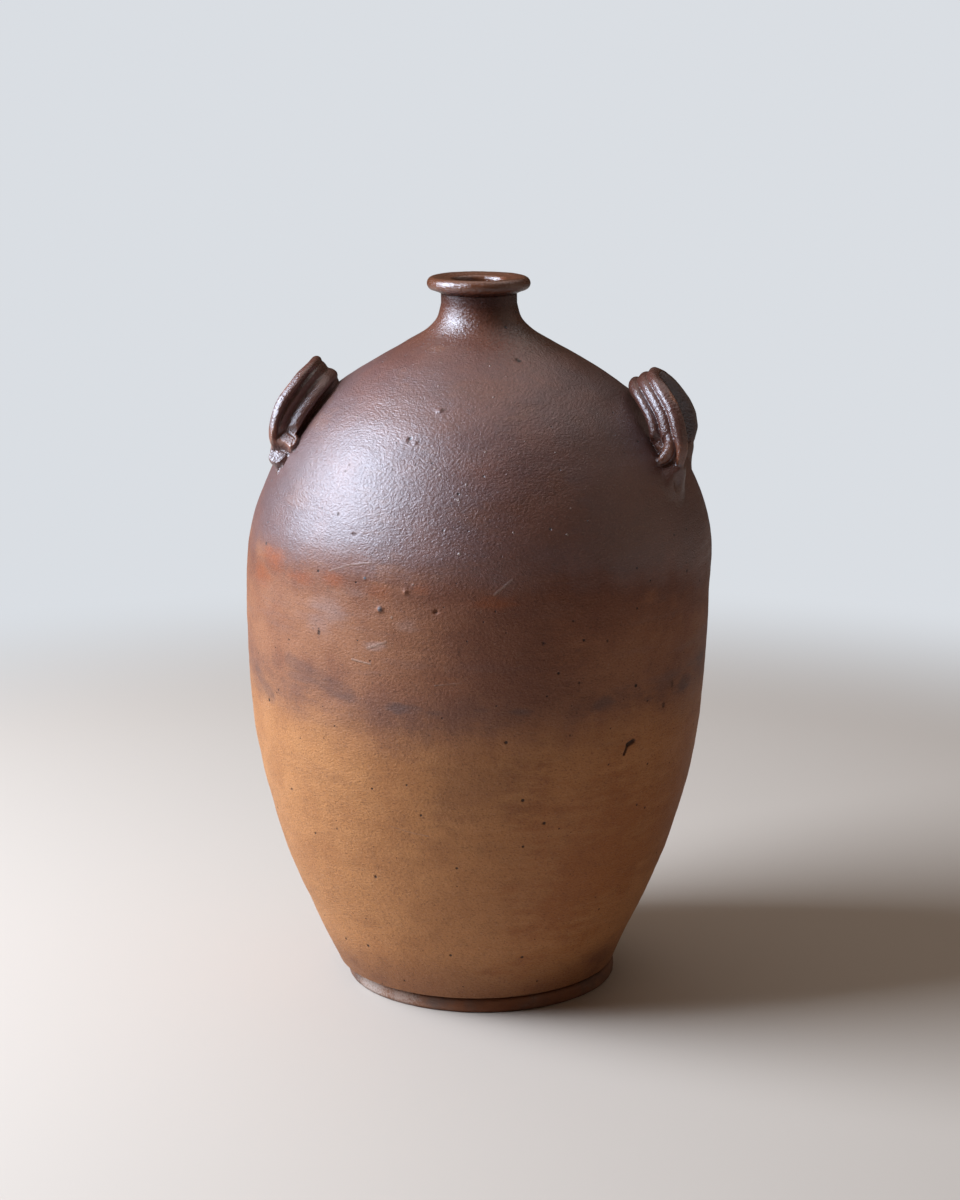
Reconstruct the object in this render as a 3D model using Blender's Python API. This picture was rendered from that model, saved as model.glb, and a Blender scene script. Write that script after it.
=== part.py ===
"""Large stoneware jar with two ribbed lug handles, thrown in sections and luted together.

The origin is the centre of the flat base and +Z is up. The handles sit on the shoulder, the left one on
-X and the right one turned a little from +X towards -Y. All sizes are in metres.
"""
from math import cos, exp, pi, radians, sin, sqrt

import bmesh
import bpy
from mathutils import Vector

# Whole jar
JAR_HEIGHT = 0.600
BELLY_RADIUS = 0.1948
BELLY_HEIGHT = 0.350          # height of the widest ring
BASE_THICKNESS = 0.0140       # floor of the jar
BASE_EDGE_ROUND = 0.0015
WALL_AT_FOOT = 0.0125
WALL_AT_NECK = 0.0095
WALL_SEAT_WIDTH = 0.0033      # how far the wall's underside lies over the base

# Foot band round the base, and the heel of the wall above it
FOOT_RADIUS = 0.1160
FOOT_ROUND = 0.0030
HEEL_GROOVE = 0.0025          # between the foot band and the heel
HEEL_OVERHANG = 0.0030
HEEL_ROUND = 0.0025

# Neck and rolled rim
NECK_RADIUS = 0.0314
NECK_WAIST_DROP = 0.0220      # from the top of the rim down to the narrowest ring
LIP_OVERHANG = 0.0113         # how far the rim stands out beyond the neck
LIP_TUBE_RADIUS = 0.0060
LIP_DEPTH = 0.0140            # height of the rolled rim
LIP_DISH = 0.0015             # how far the mouth lies below the rim's crest
LIP_START_ANGLE = -55.0       # the roll's arc, in degrees up from the horizontal
LIP_END_ANGLE = 95.0
MOUTH_ROUND = 0.0035
MOUTH_FOLD = 0.0009           # how far the rim is folded in over the neck's bore

# Luting joints between the thrown sections
LOW_JOINT_SHARE = 0.56        # of the belly's height
BELLY_JOINT_DROP = 0.012      # below the widest ring
NECK_JOINT_DROP = 0.048       # below the top of the rim
TONGUE_HEIGHT = 0.0036        # on the lower section's edge, in a groove in the upper one
TONGUE_HALF_WIDTH = 0.0026
TONGUE_TIP_HALF_WIDTH = 0.0008
LUTE_GAP = 0.0005
SEAT_GAP = 0.0003

# Ribbed strap of each handle, arched up the shoulder
RIGHT_HANDLE_TURN = radians(6.0)     # from the X axis towards -Y
HANDLE_DROP = 0.151           # from the top of the rim to where the right arch's feet meet the wall
LEFT_HANDLE_LIFT = 0.006      # the left one was put on a little higher
HANDLE_GAP = 0.0050           # from the wall to the strap's inner edge at the top of the arch
HANDLE_GAP_AT_FEET = 0.0007
ARCH_HALF_SPAN = 0.0525
ARCH_RISE = 0.077             # along the slope of the shoulder
ARCH_SQUARENESS = 2.7         # 2 is an ellipse
ARCH_CUT = 0.014              # the strap ends this far above the feet
STRAP_THICKNESS = 0.0062      # between the ribs
STRAP_WIDTH = 0.0275          # across the ribs at the top of the arch
STRAP_WIDTH_AT_FEET = 0.019
STRAP_LEAN = radians(20.0)    # outer edge drops down the slope at the top
STRAP_OUTER_SQUARENESS = 6    # of the section's ribbed side, 2 is an ellipse
STRAP_INNER_SQUARENESS = 4
EDGE_RIB_HEIGHT = 0.0032
MIDDLE_RIB_HEIGHT = 0.0025
RIB_PLACE_SHARE = 0.36        # of the strap's width, from its middle line to an edge rib
RIB_WIDTH_SHARE = 0.115

# Pressed terminal under each end of a strap
TERMINAL_TAIL = 0.024         # how far it runs below the arch's feet
TERMINAL_MARGIN = 0.0026      # how far it stands out on each side of the strap's end
TERMINAL_CROWN = 0.0017       # how far it stands out beyond the strap's outer edge
TERMINAL_SPREAD = 0.0055      # extra half width where the clay was thumbed out
TERMINAL_TIP_HEIGHT = 0.0022
TERMINAL_SQUARENESS = 3       # of its section
TAIL_ROUND_SHARE = 0.97       # how fully the tail's outline closes
THUMB_DEPTH = 0.0045
THUMB_PLACE_SHARE = 0.62      # down the terminal
THUMB_LENGTH_SHARE = 0.16
THUMB_WIDTH_SHARE = 0.60
CUT_OVERRUN = 0.005           # how far a terminal is drawn past the strap's end before the cut

# Outline of the wall below the belly: (share of the height, share of the swell from heel to belly)
LOWER_OUTLINE_SHARES = (
    (0.0, 0.0), (0.136, 0.277), (0.315, 0.598), (0.434, 0.751), (0.553, 0.872),
    (0.672, 0.950), (0.792, 0.987), (1.0, 1.0))
# Outline above the belly: (share of the height to the neck's waist, share of belly minus neck)
UPPER_OUTLINE_SHARES = (
    (0.0, 1.0), (0.110, 0.996), (0.219, 0.976), (0.351, 0.913), (0.483, 0.816), (0.614, 0.677),
    (0.702, 0.536), (0.790, 0.348), (0.855, 0.187), (0.908, 0.068), (0.952, 0.018), (1.0, 0.0))

# How finely the forms are divided
TURN_STEPS = 48
ARC_STEPS = 3
LOWER_ROWS = 8
BELLY_ROWS = 6
SHOULDER_ROWS = 14
NECK_ROWS = 6
STRAP_STATIONS = 25
STRAP_OUTER_POINTS = 17
STRAP_INNER_POINTS = 6
TERMINAL_STATIONS = 10
TERMINAL_DOME_POINTS = 9
CLIMB_STEPS = 48
MERGE_SHARE = 0.01            # of the seat gap, closer points are one
SMOOTH_ANGLE = radians(40.0)

# Clay and glazes: colour and roughness
BARE_CLAY = ((0.16, 0.10, 0.08), 0.80)
TAN_GLAZE = ((0.36, 0.15, 0.055), 0.60)
RED_BROWN_GLAZE = ((0.20, 0.065, 0.035), 0.50)
DARK_GLAZE = ((0.075, 0.032, 0.028), 0.35)

# Places that follow from the sizes
HEEL_RADIUS = FOOT_RADIUS + HEEL_OVERHANG
HEEL_HEIGHT = BASE_THICKNESS + SEAT_GAP
FOOT_HEIGHT = HEEL_HEIGHT - HEEL_GROOVE
WAIST_HEIGHT = JAR_HEIGHT - NECK_WAIST_DROP
BORE_RADIUS = NECK_RADIUS - WALL_AT_NECK - MOUTH_FOLD
LOW_JOINT_HEIGHT = BELLY_HEIGHT * LOW_JOINT_SHARE
BELLY_JOINT_HEIGHT = BELLY_HEIGHT - BELLY_JOINT_DROP
NECK_JOINT_HEIGHT = JAR_HEIGHT - NECK_JOINT_DROP
RIM_JOINT_HEIGHT = JAR_HEIGHT - LIP_DEPTH
HANDLE_FOOT_HEIGHTS = {"right": JAR_HEIGHT - HANDLE_DROP,
                       "left": JAR_HEIGHT - HANDLE_DROP + LEFT_HANDLE_LIFT}


# Smooth outline through the stations, with no overshoot between them

def make_curve(stations):
    """Return f(x) -> (value, slope), a cubic through the stations that never overshoots them."""
    xs = [x for x, _ in stations]
    ys = [y for _, y in stations]
    rises = [(ys[i + 1] - ys[i]) / (xs[i + 1] - xs[i]) for i in range(len(xs) - 1)]
    slopes = [rises[0]]
    for before, after in zip(rises, rises[1:]):
        same_way = before * after > 0
        slopes.append(2 * before * after / (before + after) if same_way else 0.0)
    slopes.append(rises[-1])

    def curve(x):
        i = max(k for k in range(len(xs) - 1) if k == 0 or xs[k] <= x)
        step = xs[i + 1] - xs[i]
        t = (x - xs[i]) / step
        value = (ys[i] * (1 + 2 * t) * (1 - t) ** 2 + slopes[i] * step * t * (1 - t) ** 2
                 + ys[i + 1] * t * t * (3 - 2 * t) - slopes[i + 1] * step * t * t * (1 - t))
        slope = ((ys[i + 1] - ys[i]) * 6 * t * (1 - t) / step
                 + slopes[i] * (1 - t) * (1 - 3 * t) + slopes[i + 1] * t * (3 * t - 2))
        return value, slope

    return curve


def outline_stations():
    """Height and radius of each station of the whole wall, from the heel to the neck's waist."""
    lower_rise = BELLY_HEIGHT - HEEL_HEIGHT
    upper_rise = WAIST_HEIGHT - BELLY_HEIGHT
    lower = [(HEEL_HEIGHT + h * lower_rise, HEEL_RADIUS + r * (BELLY_RADIUS - HEEL_RADIUS))
             for h, r in LOWER_OUTLINE_SHARES]
    upper = [(BELLY_HEIGHT + h * upper_rise, NECK_RADIUS + r * (BELLY_RADIUS - NECK_RADIUS))
             for h, r in UPPER_OUTLINE_SHARES[1:]]
    return lower + upper


WALL_CURVE = make_curve(outline_stations())


def outer_wall(z):
    """Radius and slope of the wall's outer face at height z, straight above the waist."""
    if z >= WAIST_HEIGHT:
        return NECK_RADIUS, 0.0
    return WALL_CURVE(z)


def inner_radius(z):
    """Radius of the wall's inner face at height z, no narrower than the bore."""
    radius, slope = outer_wall(z)
    share = (z - HEEL_HEIGHT) / (WAIST_HEIGHT - HEEL_HEIGHT)
    wall = WALL_AT_FOOT + (WALL_AT_NECK - WALL_AT_FOOT) * min(1.0, share)
    return max(BORE_RADIUS, radius - wall * sqrt(1 + slope * slope))


def middle_radius(z):
    return (outer_wall(z)[0] + inner_radius(z)) / 2


# Turned pieces

def turn(name, section):
    """Spin a closed section of (radius, height) points round the Z axis into one solid."""
    shape = bmesh.new()
    verts = [shape.verts.new((radius, 0, z)) for radius, z in section]
    edges = [shape.edges.new(pair) for pair in zip(verts, verts[1:])]
    if section[0][0] > 0:
        edges.append(shape.edges.new((verts[-1], verts[0])))
    bmesh.ops.spin(shape, geom=verts + edges, cent=(0, 0, 0), axis=(0, 0, 1), angle=2 * pi,
                   steps=TURN_STEPS, use_merge=True)
    bmesh.ops.remove_doubles(shape, verts=shape.verts, dist=SEAT_GAP * MERGE_SHARE)
    return finish(name, shape)


def arc(radius, z, tube, start, end, steps=ARC_STEPS):
    """Points of an arc in the section plane, angles in degrees from +X."""
    angles = [radians(start + (end - start) * k / steps) for k in range(steps + 1)]
    return [(radius + tube * cos(a), z + tube * sin(a)) for a in angles]


def heights(low, high, rows):
    return [low + (high - low) * k / rows for k in range(rows + 1)]


def tongue(z):
    """Top edge of a section, from outside to inside, with its raised tongue."""
    middle, top = middle_radius(z), z + TONGUE_HEIGHT
    return [(middle + TONGUE_HALF_WIDTH, z), (middle + TONGUE_TIP_HALF_WIDTH, top),
            (middle - TONGUE_TIP_HALF_WIDTH, top), (middle - TONGUE_HALF_WIDTH, z)]


def groove(z):
    """Bottom edge of the section above, from inside to outside, clear of that tongue."""
    return [(radius, height + LUTE_GAP) for radius, height in reversed(tongue(z))]


def wall_section(name, low, high, rows, low_edge):
    """One thrown section: outer face, tongue on top, inner face and the given lower edge."""
    outside = [(outer_wall(z)[0], z) for z in heights(low, high, rows)]
    inside = [(inner_radius(z), z) for z in reversed(heights(low, high, rows // 2))]
    return turn(name, outside + tongue(high) + inside + low_edge)


def base_radius():
    """Radius of the base, which carries the inner part of the wall's underside."""
    return inner_radius(HEEL_HEIGHT) + WALL_SEAT_WIDTH


def base_slab():
    radius = base_radius()
    edge = arc(radius - BASE_EDGE_ROUND, BASE_THICKNESS - BASE_EDGE_ROUND, BASE_EDGE_ROUND, 0, 90)
    return turn("base_slab", [(0, 0), (radius, 0)] + edge + [(0, BASE_THICKNESS)])


def foot_ring():
    """Band round the base with a rounded outer side, no rounder than its height allows."""
    inside = base_radius() + SEAT_GAP
    tube = min(FOOT_ROUND, FOOT_HEIGHT / 2)
    low = arc(FOOT_RADIUS - tube, tube, tube, -90, 0)
    high = arc(FOOT_RADIUS - tube, FOOT_HEIGHT - tube, tube, 0, 90)
    return turn("foot_ring", [(inside, 0)] + low + high + [(inside, FOOT_HEIGHT)])


def lower_wall():
    """Rises from the base with a rounded heel over the foot band."""
    low = HEEL_HEIGHT + HEEL_ROUND
    heel = arc(outer_wall(low)[0] - HEEL_ROUND, low, HEEL_ROUND, -90, 0)[:-1]
    floor = [(inner_radius(HEEL_HEIGHT), HEEL_HEIGHT)]
    return wall_section("lower_wall", low, LOW_JOINT_HEIGHT, LOWER_ROWS, floor + heel)


def belly_wall():
    return wall_section("belly_wall", LOW_JOINT_HEIGHT + LUTE_GAP, BELLY_JOINT_HEIGHT, BELLY_ROWS,
                        groove(LOW_JOINT_HEIGHT))


def shoulder_dome():
    return wall_section("shoulder_dome", BELLY_JOINT_HEIGHT + LUTE_GAP, NECK_JOINT_HEIGHT,
                        SHOULDER_ROWS, groove(BELLY_JOINT_HEIGHT))


def neck_collar():
    return wall_section("neck_collar", NECK_JOINT_HEIGHT + LUTE_GAP, RIM_JOINT_HEIGHT, NECK_ROWS,
                        groove(NECK_JOINT_HEIGHT))


def rim_roll():
    """Rolled lip with a dished top that runs down into the bore."""
    low = RIM_JOINT_HEIGHT + LUTE_GAP
    ring = NECK_RADIUS + LIP_OVERHANG - LIP_TUBE_RADIUS
    middle = JAR_HEIGHT - LIP_TUBE_RADIUS
    underside = [(NECK_RADIUS, low)]
    roll = arc(ring, middle, LIP_TUBE_RADIUS, LIP_START_ANGLE, LIP_END_ANGLE, 2 * ARC_STEPS)
    mouth = arc(BORE_RADIUS + MOUTH_ROUND, JAR_HEIGHT - LIP_DISH - MOUTH_ROUND, MOUTH_ROUND, 90, 180)
    bore = [(BORE_RADIUS, low)]
    return turn("rim_roll", underside + roll + mouth + bore + groove(RIM_JOINT_HEIGHT))


# Handles

def climb(z, rise):
    """Height reached from height z after going a distance up the slope of the wall."""
    for _ in range(CLIMB_STEPS):
        slope = outer_wall(z)[1]
        z += rise / CLIMB_STEPS / sqrt(1 + slope * slope)
    return z


def on_wall(azimuth, z):
    """Point on the wall, its outward normal and the direction up the slope."""
    radius, slope = outer_wall(z)
    out = Vector((cos(azimuth), sin(azimuth), 0))
    up = Vector((0, 0, 1))
    return out * radius + up * z, (out - up * slope).normalized(), (out * slope + up).normalized()


def handle_azimuth(side, foot_height, along):
    """Azimuth of a point that lies a distance along the wall from the handle's middle."""
    middle = -RIGHT_HANDLE_TURN if side == "right" else pi
    radius = outer_wall(climb(foot_height, ARCH_RISE / 2))[0]
    return middle + along / radius


def power(value, exponent):
    return abs(value) ** exponent if value >= 0 else -abs(value) ** exponent


def arch_point(turn_angle):
    """Distance along the wall and up its slope, of the arch at an angle from 0 to pi."""
    along = ARCH_HALF_SPAN * power(cos(turn_angle), 2 / ARCH_SQUARENESS)
    return along, ARCH_RISE * power(sin(turn_angle), 2 / ARCH_SQUARENESS)


def arch_cut_angle():
    """Angle at which the arch has climbed to where the strap ends."""
    low, high = 0.0, pi / 2
    for _ in range(CLIMB_STEPS):
        middle = (low + high) / 2
        low, high = (middle, high) if arch_point(middle)[1] < ARCH_CUT else (low, middle)
    return low


def strap_ease(rise):
    """0 at the arch's feet and 1 at its top."""
    return sin(rise / ARCH_RISE * pi / 2)


def strap_edges(rise):
    """Distances from the wall to the strap's inner and outer edges."""
    ease = strap_ease(rise)
    gap = HANDLE_GAP_AT_FEET + (HANDLE_GAP - HANDLE_GAP_AT_FEET) * ease
    return gap, gap + STRAP_WIDTH_AT_FEET + (STRAP_WIDTH - STRAP_WIDTH_AT_FEET) * ease


def strap_centre(side, foot_height, turn_angle):
    """Point on the crest line of the strap, the direction across its ribs, and its width."""
    along, rise = arch_point(turn_angle)
    azimuth = handle_azimuth(side, foot_height, along)
    point, normal, slope_up = on_wall(azimuth, climb(foot_height, rise))
    inner, outer = strap_edges(rise)
    lean = STRAP_LEAN * strap_ease(rise) ** 2
    across = normal * cos(lean) - slope_up * sin(lean)
    return point + normal * (inner + outer) / 2, across, outer - inner


def rib_height(share):
    """Height of the ribs over the valleys, at a share of the width from the middle line."""
    edge = exp(-((abs(share) - RIB_PLACE_SHARE) / RIB_WIDTH_SHARE) ** 2)
    middle = exp(-(share / RIB_WIDTH_SHARE) ** 2)
    return EDGE_RIB_HEIGHT * edge + MIDDLE_RIB_HEIGHT * middle


def strap_section():
    """Closed section as (share of the width, depth below the rib crests), ribs on the outer side."""
    half = STRAP_THICKNESS / 2
    points = []
    for k in range(STRAP_OUTER_POINTS):
        step = k / (STRAP_OUTER_POINTS - 1)
        even, crowded = step - 1 / 2, -cos(pi * step) / 2
        share = (even + crowded) / 2
        edge = sqrt(1 - min(1.0, abs(2 * share)) ** STRAP_OUTER_SQUARENESS)
        points.append((share, (half + rib_height(share)) * edge))
    for k in range(1, STRAP_INNER_POINTS):
        share = cos(pi * k / STRAP_INNER_POINTS) / 2
        points.append((share, -half * sqrt(1 - abs(2 * share) ** STRAP_INNER_SQUARENESS)))
    crest = half + EDGE_RIB_HEIGHT
    return [(share, depth - crest) for share, depth in points]


def strap_frames(side, foot_height):
    """Stations along the strap: crest point, directions across the ribs and outwards, and width."""
    start = arch_cut_angle()
    angles = [start + (pi - 2 * start) * k / (STRAP_STATIONS - 1) for k in range(STRAP_STATIONS)]
    stations = [strap_centre(side, foot_height, angle) for angle in angles]
    centre = sum((point for point, _, _ in stations), Vector()) / len(stations)
    frames = []
    for k, (point, across, width) in enumerate(stations):
        before = stations[max(k - 1, 0)][0]
        after = stations[min(k + 1, len(stations) - 1)][0]
        outward = (after - before).cross(across).normalized()
        if outward.dot(point - centre) < 0:
            outward = -outward
        frames.append((point, across, outward, width))
    return frames


def handle_strap(side, foot_height):
    """Sweep the ribbed section along the arch, which follows the curve of the shoulder."""
    rings = [[point + across * (share * width) + outward * depth for share, depth in strap_section()]
             for point, across, outward, width in strap_frames(side, foot_height)]
    return finish(side + "_handle_strap", loft(rings))


def strap_end(side, end, foot_height):
    """Point on a strap's end face and the direction in which the strap ends there."""
    frames = strap_frames(side, foot_height)
    if (end == "front") != (side == "left"):
        frames.reverse()
    point, across, outward, _ = frames[0]
    direction = across.cross(outward).normalized()
    if direction.dot(frames[0][0] - frames[1][0]) < 0:
        direction = -direction
    return point, direction


def terminal_sizes(share):
    """Half width, height and thumb mark of a terminal at a share of its length, top to tail."""
    fade = (1 - share) ** 2 * (1 + 2 * share)
    top_height = strap_edges(ARCH_CUT)[1] + TERMINAL_CROWN
    height = TERMINAL_TIP_HEIGHT + (top_height - TERMINAL_TIP_HEIGHT) * fade
    tail = sqrt(1 - (share * TAIL_ROUND_SHARE) ** 4)
    top_half_width = (STRAP_THICKNESS + EDGE_RIB_HEIGHT) / 2 + TERMINAL_MARGIN
    half_width = (top_half_width + TERMINAL_SPREAD * sin(pi * share) ** 2) * tail
    mark = THUMB_DEPTH * exp(-((share - THUMB_PLACE_SHARE) / THUMB_LENGTH_SHARE) ** 2)
    return half_width, height, min(mark, height / 2)


def handle_terminal(side, end, foot_height):
    """Pad of clay from a strap's end down the wall, thumbed out to a tail."""
    face = 1 if (end == "front") == (side == "left") else -1
    along = arch_point(arch_cut_angle())[0] - STRAP_THICKNESS / 2 - EDGE_RIB_HEIGHT / 2
    top = climb(foot_height, ARCH_CUT + CUT_OVERRUN)
    length = ARCH_CUT + CUT_OVERRUN + TERMINAL_TAIL
    rings = []
    for k in range(TERMINAL_STATIONS):
        share = k / (TERMINAL_STATIONS - 1)
        z = climb(top, -length * share)
        half_width, height, mark = terminal_sizes(share)
        ring = []
        for j in range(TERMINAL_DOME_POINTS):
            angle = pi * j / (TERMINAL_DOME_POINTS - 1)
            side_share = power(cos(angle), 2 / TERMINAL_SQUARENESS)
            lift_share = power(sin(angle), 2 / TERMINAL_SQUARENESS)
            pressed = mark * exp(-(side_share / THUMB_WIDTH_SHARE) ** 2)
            ring.append((side_share * half_width, lift_share * height - pressed))
        ring.append((0, 0))
        rings.append([terminal_point(side, foot_height, face * along + offset, z, lift + SEAT_GAP)
                      for offset, lift in ring])
    shape = loft(rings)
    point, direction = strap_end(side, end, foot_height)
    cut = bmesh.ops.bisect_plane(shape, geom=shape.verts[:] + shape.edges[:] + shape.faces[:],
                                 plane_co=point + direction * SEAT_GAP, plane_no=direction,
                                 clear_inner=True)
    rim = [item for item in cut["geom_cut"] if isinstance(item, bmesh.types.BMEdge)]
    bmesh.ops.edgeloop_fill(shape, edges=rim)
    return finish(side + "_" + end + "_terminal", shape)


def terminal_point(side, foot_height, along, z, lift):
    point, normal, _ = on_wall(handle_azimuth(side, foot_height, along), z)
    return point + normal * lift


# Solids and materials

def loft(rings):
    """Skin a row of rings with the same number of points and close both ends."""
    shape = bmesh.new()
    rows = [[shape.verts.new(point) for point in ring] for ring in rings]
    for row, following in zip(rows, rows[1:]):
        for k in range(len(row)):
            j = (k + 1) % len(row)
            shape.faces.new((row[k], row[j], following[j], following[k]))
    shape.faces.new(list(reversed(rows[0])))
    shape.faces.new(rows[-1])
    return shape


def finish(name, shape):
    """Turn the faces outwards and put the solid in the scene as one smooth-shaded object."""
    bmesh.ops.recalc_face_normals(shape, faces=shape.faces)
    bmesh.ops.triangulate(shape, faces=shape.faces)
    mesh = bpy.data.meshes.new(name)
    shape.to_mesh(mesh)
    shape.free()
    mesh.shade_smooth()
    mesh.set_sharp_from_angle(angle=SMOOTH_ANGLE)
    piece = bpy.data.objects.new(name, mesh)
    bpy.context.scene.collection.objects.link(piece)
    return piece


def glaze(piece, look):
    colour, roughness = look
    material = bpy.data.materials.new(piece.name)
    material.use_nodes = True
    shader = material.node_tree.nodes["Principled BSDF"]
    shader.inputs["Base Color"].default_value = (*colour, 1)
    shader.inputs["Roughness"].default_value = roughness
    shader.inputs["Metallic"].default_value = 0
    piece.data.materials.append(material)


def build():
    for old in list(bpy.data.objects):
        bpy.data.objects.remove(old)

    for piece in (base_slab(), foot_ring()):
        glaze(piece, BARE_CLAY)
    glaze(lower_wall(), TAN_GLAZE)
    glaze(belly_wall(), RED_BROWN_GLAZE)
    for piece in (shoulder_dome(), neck_collar(), rim_roll()):
        glaze(piece, DARK_GLAZE)

    for side, foot_height in HANDLE_FOOT_HEIGHTS.items():
        glaze(handle_strap(side, foot_height), DARK_GLAZE)
        for end in ("front", "back"):
            glaze(handle_terminal(side, end, foot_height), DARK_GLAZE)


build()
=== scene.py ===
from itertools import product
from math import cos, pi, radians, sin

import bmesh
import bpy
import numpy as np
from mathutils import Euler, Matrix, Vector


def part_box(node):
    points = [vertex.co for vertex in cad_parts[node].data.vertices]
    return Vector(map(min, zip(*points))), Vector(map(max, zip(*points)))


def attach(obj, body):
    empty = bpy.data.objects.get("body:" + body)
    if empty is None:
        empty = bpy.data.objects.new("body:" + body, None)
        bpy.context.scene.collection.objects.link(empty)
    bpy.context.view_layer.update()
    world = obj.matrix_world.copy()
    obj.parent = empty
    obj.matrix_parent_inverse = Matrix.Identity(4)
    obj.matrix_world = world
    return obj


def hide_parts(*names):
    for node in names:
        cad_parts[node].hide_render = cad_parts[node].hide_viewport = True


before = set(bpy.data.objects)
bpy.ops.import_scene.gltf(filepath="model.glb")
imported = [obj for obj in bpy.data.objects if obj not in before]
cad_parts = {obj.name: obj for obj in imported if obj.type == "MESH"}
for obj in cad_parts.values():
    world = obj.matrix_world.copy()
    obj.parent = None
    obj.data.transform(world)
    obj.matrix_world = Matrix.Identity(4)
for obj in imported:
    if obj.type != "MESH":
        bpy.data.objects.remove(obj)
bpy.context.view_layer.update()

# Sizes of the wall, in metres, as the frame has them
JAR_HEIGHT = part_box("rim_roll")[1][2]
HEEL_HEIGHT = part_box("lower_wall")[0][2]
FOOT_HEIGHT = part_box("foot_ring")[1][2]
FOOT_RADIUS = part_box("foot_ring")[1][0]
BELLY_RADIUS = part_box("shoulder_dome")[1][0]
LIP_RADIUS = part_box("rim_roll")[1][0]
BELLY_HEIGHT = 0.35
WAIST_HEIGHT = JAR_HEIGHT - 0.022
HEEL_RADIUS = 0.119
NECK_RADIUS = 0.0314
HEEL_ROUND = 0.0025
BASE_RADIUS = 0.1085
LOW_JOINT = 0.196
BELLY_JOINT = 0.338
NECK_JOINT = 0.552
RIM_JOINT = 0.586
WALL_AT_FOOT = 0.0125
WALL_AT_NECK = 0.0095
BORE_RADIUS = 0.021

# Outline of the wall, as in the CAD source
LOWER_OUTLINE_SHARES = (
    (0.0, 0.0), (0.136, 0.277), (0.315, 0.598), (0.434, 0.751), (0.553, 0.872),
    (0.672, 0.95), (0.792, 0.987), (1.0, 1.0))
UPPER_OUTLINE_SHARES = (
    (0.0, 1.0), (0.11, 0.996), (0.219, 0.976), (0.351, 0.913), (0.483, 0.816), (0.614, 0.677),
    (0.702, 0.536), (0.79, 0.348), (0.855, 0.187), (0.908, 0.068), (0.952, 0.018), (1.0, 0.0))

# How the jar was thrown off true: height and shift towards the picture's right
THROWN_LEAN = (
    (0.0, -0.0022), (0.04, -0.004), (0.08, -0.0028), (0.25, -0.0026), (0.3, -0.0021),
    (0.335, -0.0017), (0.37, -0.0005), (0.41, 0.0006), (0.46, 0.001), (0.53, 0.0002), (0.6, -0.0012))
FOOT_SHIFT = 0.0008

# Camera, from the photograph's perspective
CAMERA_DISTANCE = 2.1757
CAMERA_HEIGHT = 0.8366
CAMERA_TURN = radians(3.0)
CAMERA_PITCH = radians(13.2)
CAMERA_LENS = 79.2
CAMERA_SENSOR = 36.0
SIDEWAYS = np.array([cos(CAMERA_TURN), sin(CAMERA_TURN), 0.0])
UP = np.array([0, 0, 1.0])

# How finely the wall is divided
COLUMNS = 480
ROW_STEP = 0.0025
INSIDE_ROW_STEP = 0.01


# Rows of points and numbers

def unit(vectors):
    """Each row brought to length 1."""
    return vectors / np.linalg.norm(vectors, axis=1)[:, None]


def azimuth_of(points):
    return np.arctan2(points[:, 1], points[:, 0])


def run_length(first, second):
    """Distance gone along a line through points, at each of them."""
    return np.concatenate(([0], np.cumsum(np.hypot(np.diff(first), np.diff(second)))))


def smooth_step(values, low, high):
    share = np.clip((values - low) / (high - low), 0, 1)
    return share * share * (3 - 2 * share)


RANDOM = np.random.default_rng(11)
SHUFFLE = RANDOM.permutation(256)
GRADIENTS = unit(RANDOM.normal(size=(256, 3)))


def noise(points, size, seed=0.0):
    """Smooth noise from about -1 to 1 at each point, with bumps of the given size in metres."""
    places = np.asarray(points) / size + seed
    cell = np.floor(places).astype(int)
    inside = places - cell
    fade = inside ** 3 * (inside * (inside * 6 - 15) + 10)
    total = np.zeros(len(places))
    for corner in product((0, 1), repeat=3):
        at = (cell + corner) & 255
        index = SHUFFLE[(SHUFFLE[(SHUFFLE[at[:, 0]] + at[:, 1]) & 255] + at[:, 2]) & 255]
        reach = ((inside - corner) * GRADIENTS[index]).sum(axis=1)
        total += reach * np.where(corner, fade, 1 - fade).prod(axis=1)
    return total * 1.6


# Outline of the wall

def make_curve(stations):
    """Return f(xs) -> (values, slopes), a cubic through the stations that never overshoots them."""
    xs, ys = (np.array(column, float) for column in zip(*stations))
    rises = np.diff(ys) / np.diff(xs)
    same_way = rises[:-1] * rises[1:] > 0
    middle = 2 * rises[:-1] * rises[1:] / np.where(same_way, rises[:-1] + rises[1:], 1)
    slopes = np.concatenate(([rises[0]], np.where(same_way, middle, 0), [rises[-1]]))

    def curve(where):
        where = np.asarray(where, float)
        i = np.clip(np.searchsorted(xs, where, side="right") - 1, 0, len(xs) - 2)
        step = xs[i + 1] - xs[i]
        t = (where - xs[i]) / step
        value = (ys[i] * (1 + 2 * t) * (1 - t) ** 2 + slopes[i] * step * t * (1 - t) ** 2
                 + ys[i + 1] * t * t * (3 - 2 * t) - slopes[i + 1] * step * t * t * (1 - t))
        slope = ((ys[i + 1] - ys[i]) * 6 * t * (1 - t) / step
                 + slopes[i] * (1 - t) * (1 - 3 * t) + slopes[i + 1] * t * (3 * t - 2))
        return value, slope

    return curve


def wall_stations():
    lower_rise, upper_rise = BELLY_HEIGHT - HEEL_HEIGHT, WAIST_HEIGHT - BELLY_HEIGHT
    lower = [(HEEL_HEIGHT + h * lower_rise, HEEL_RADIUS + r * (BELLY_RADIUS - HEEL_RADIUS))
             for h, r in LOWER_OUTLINE_SHARES]
    upper = [(BELLY_HEIGHT + h * upper_rise, NECK_RADIUS + r * (BELLY_RADIUS - NECK_RADIUS))
             for h, r in UPPER_OUTLINE_SHARES[1:]]
    return lower + upper


WALL_CURVE = make_curve(wall_stations())
LEAN_CURVE = make_curve(THROWN_LEAN)


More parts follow.
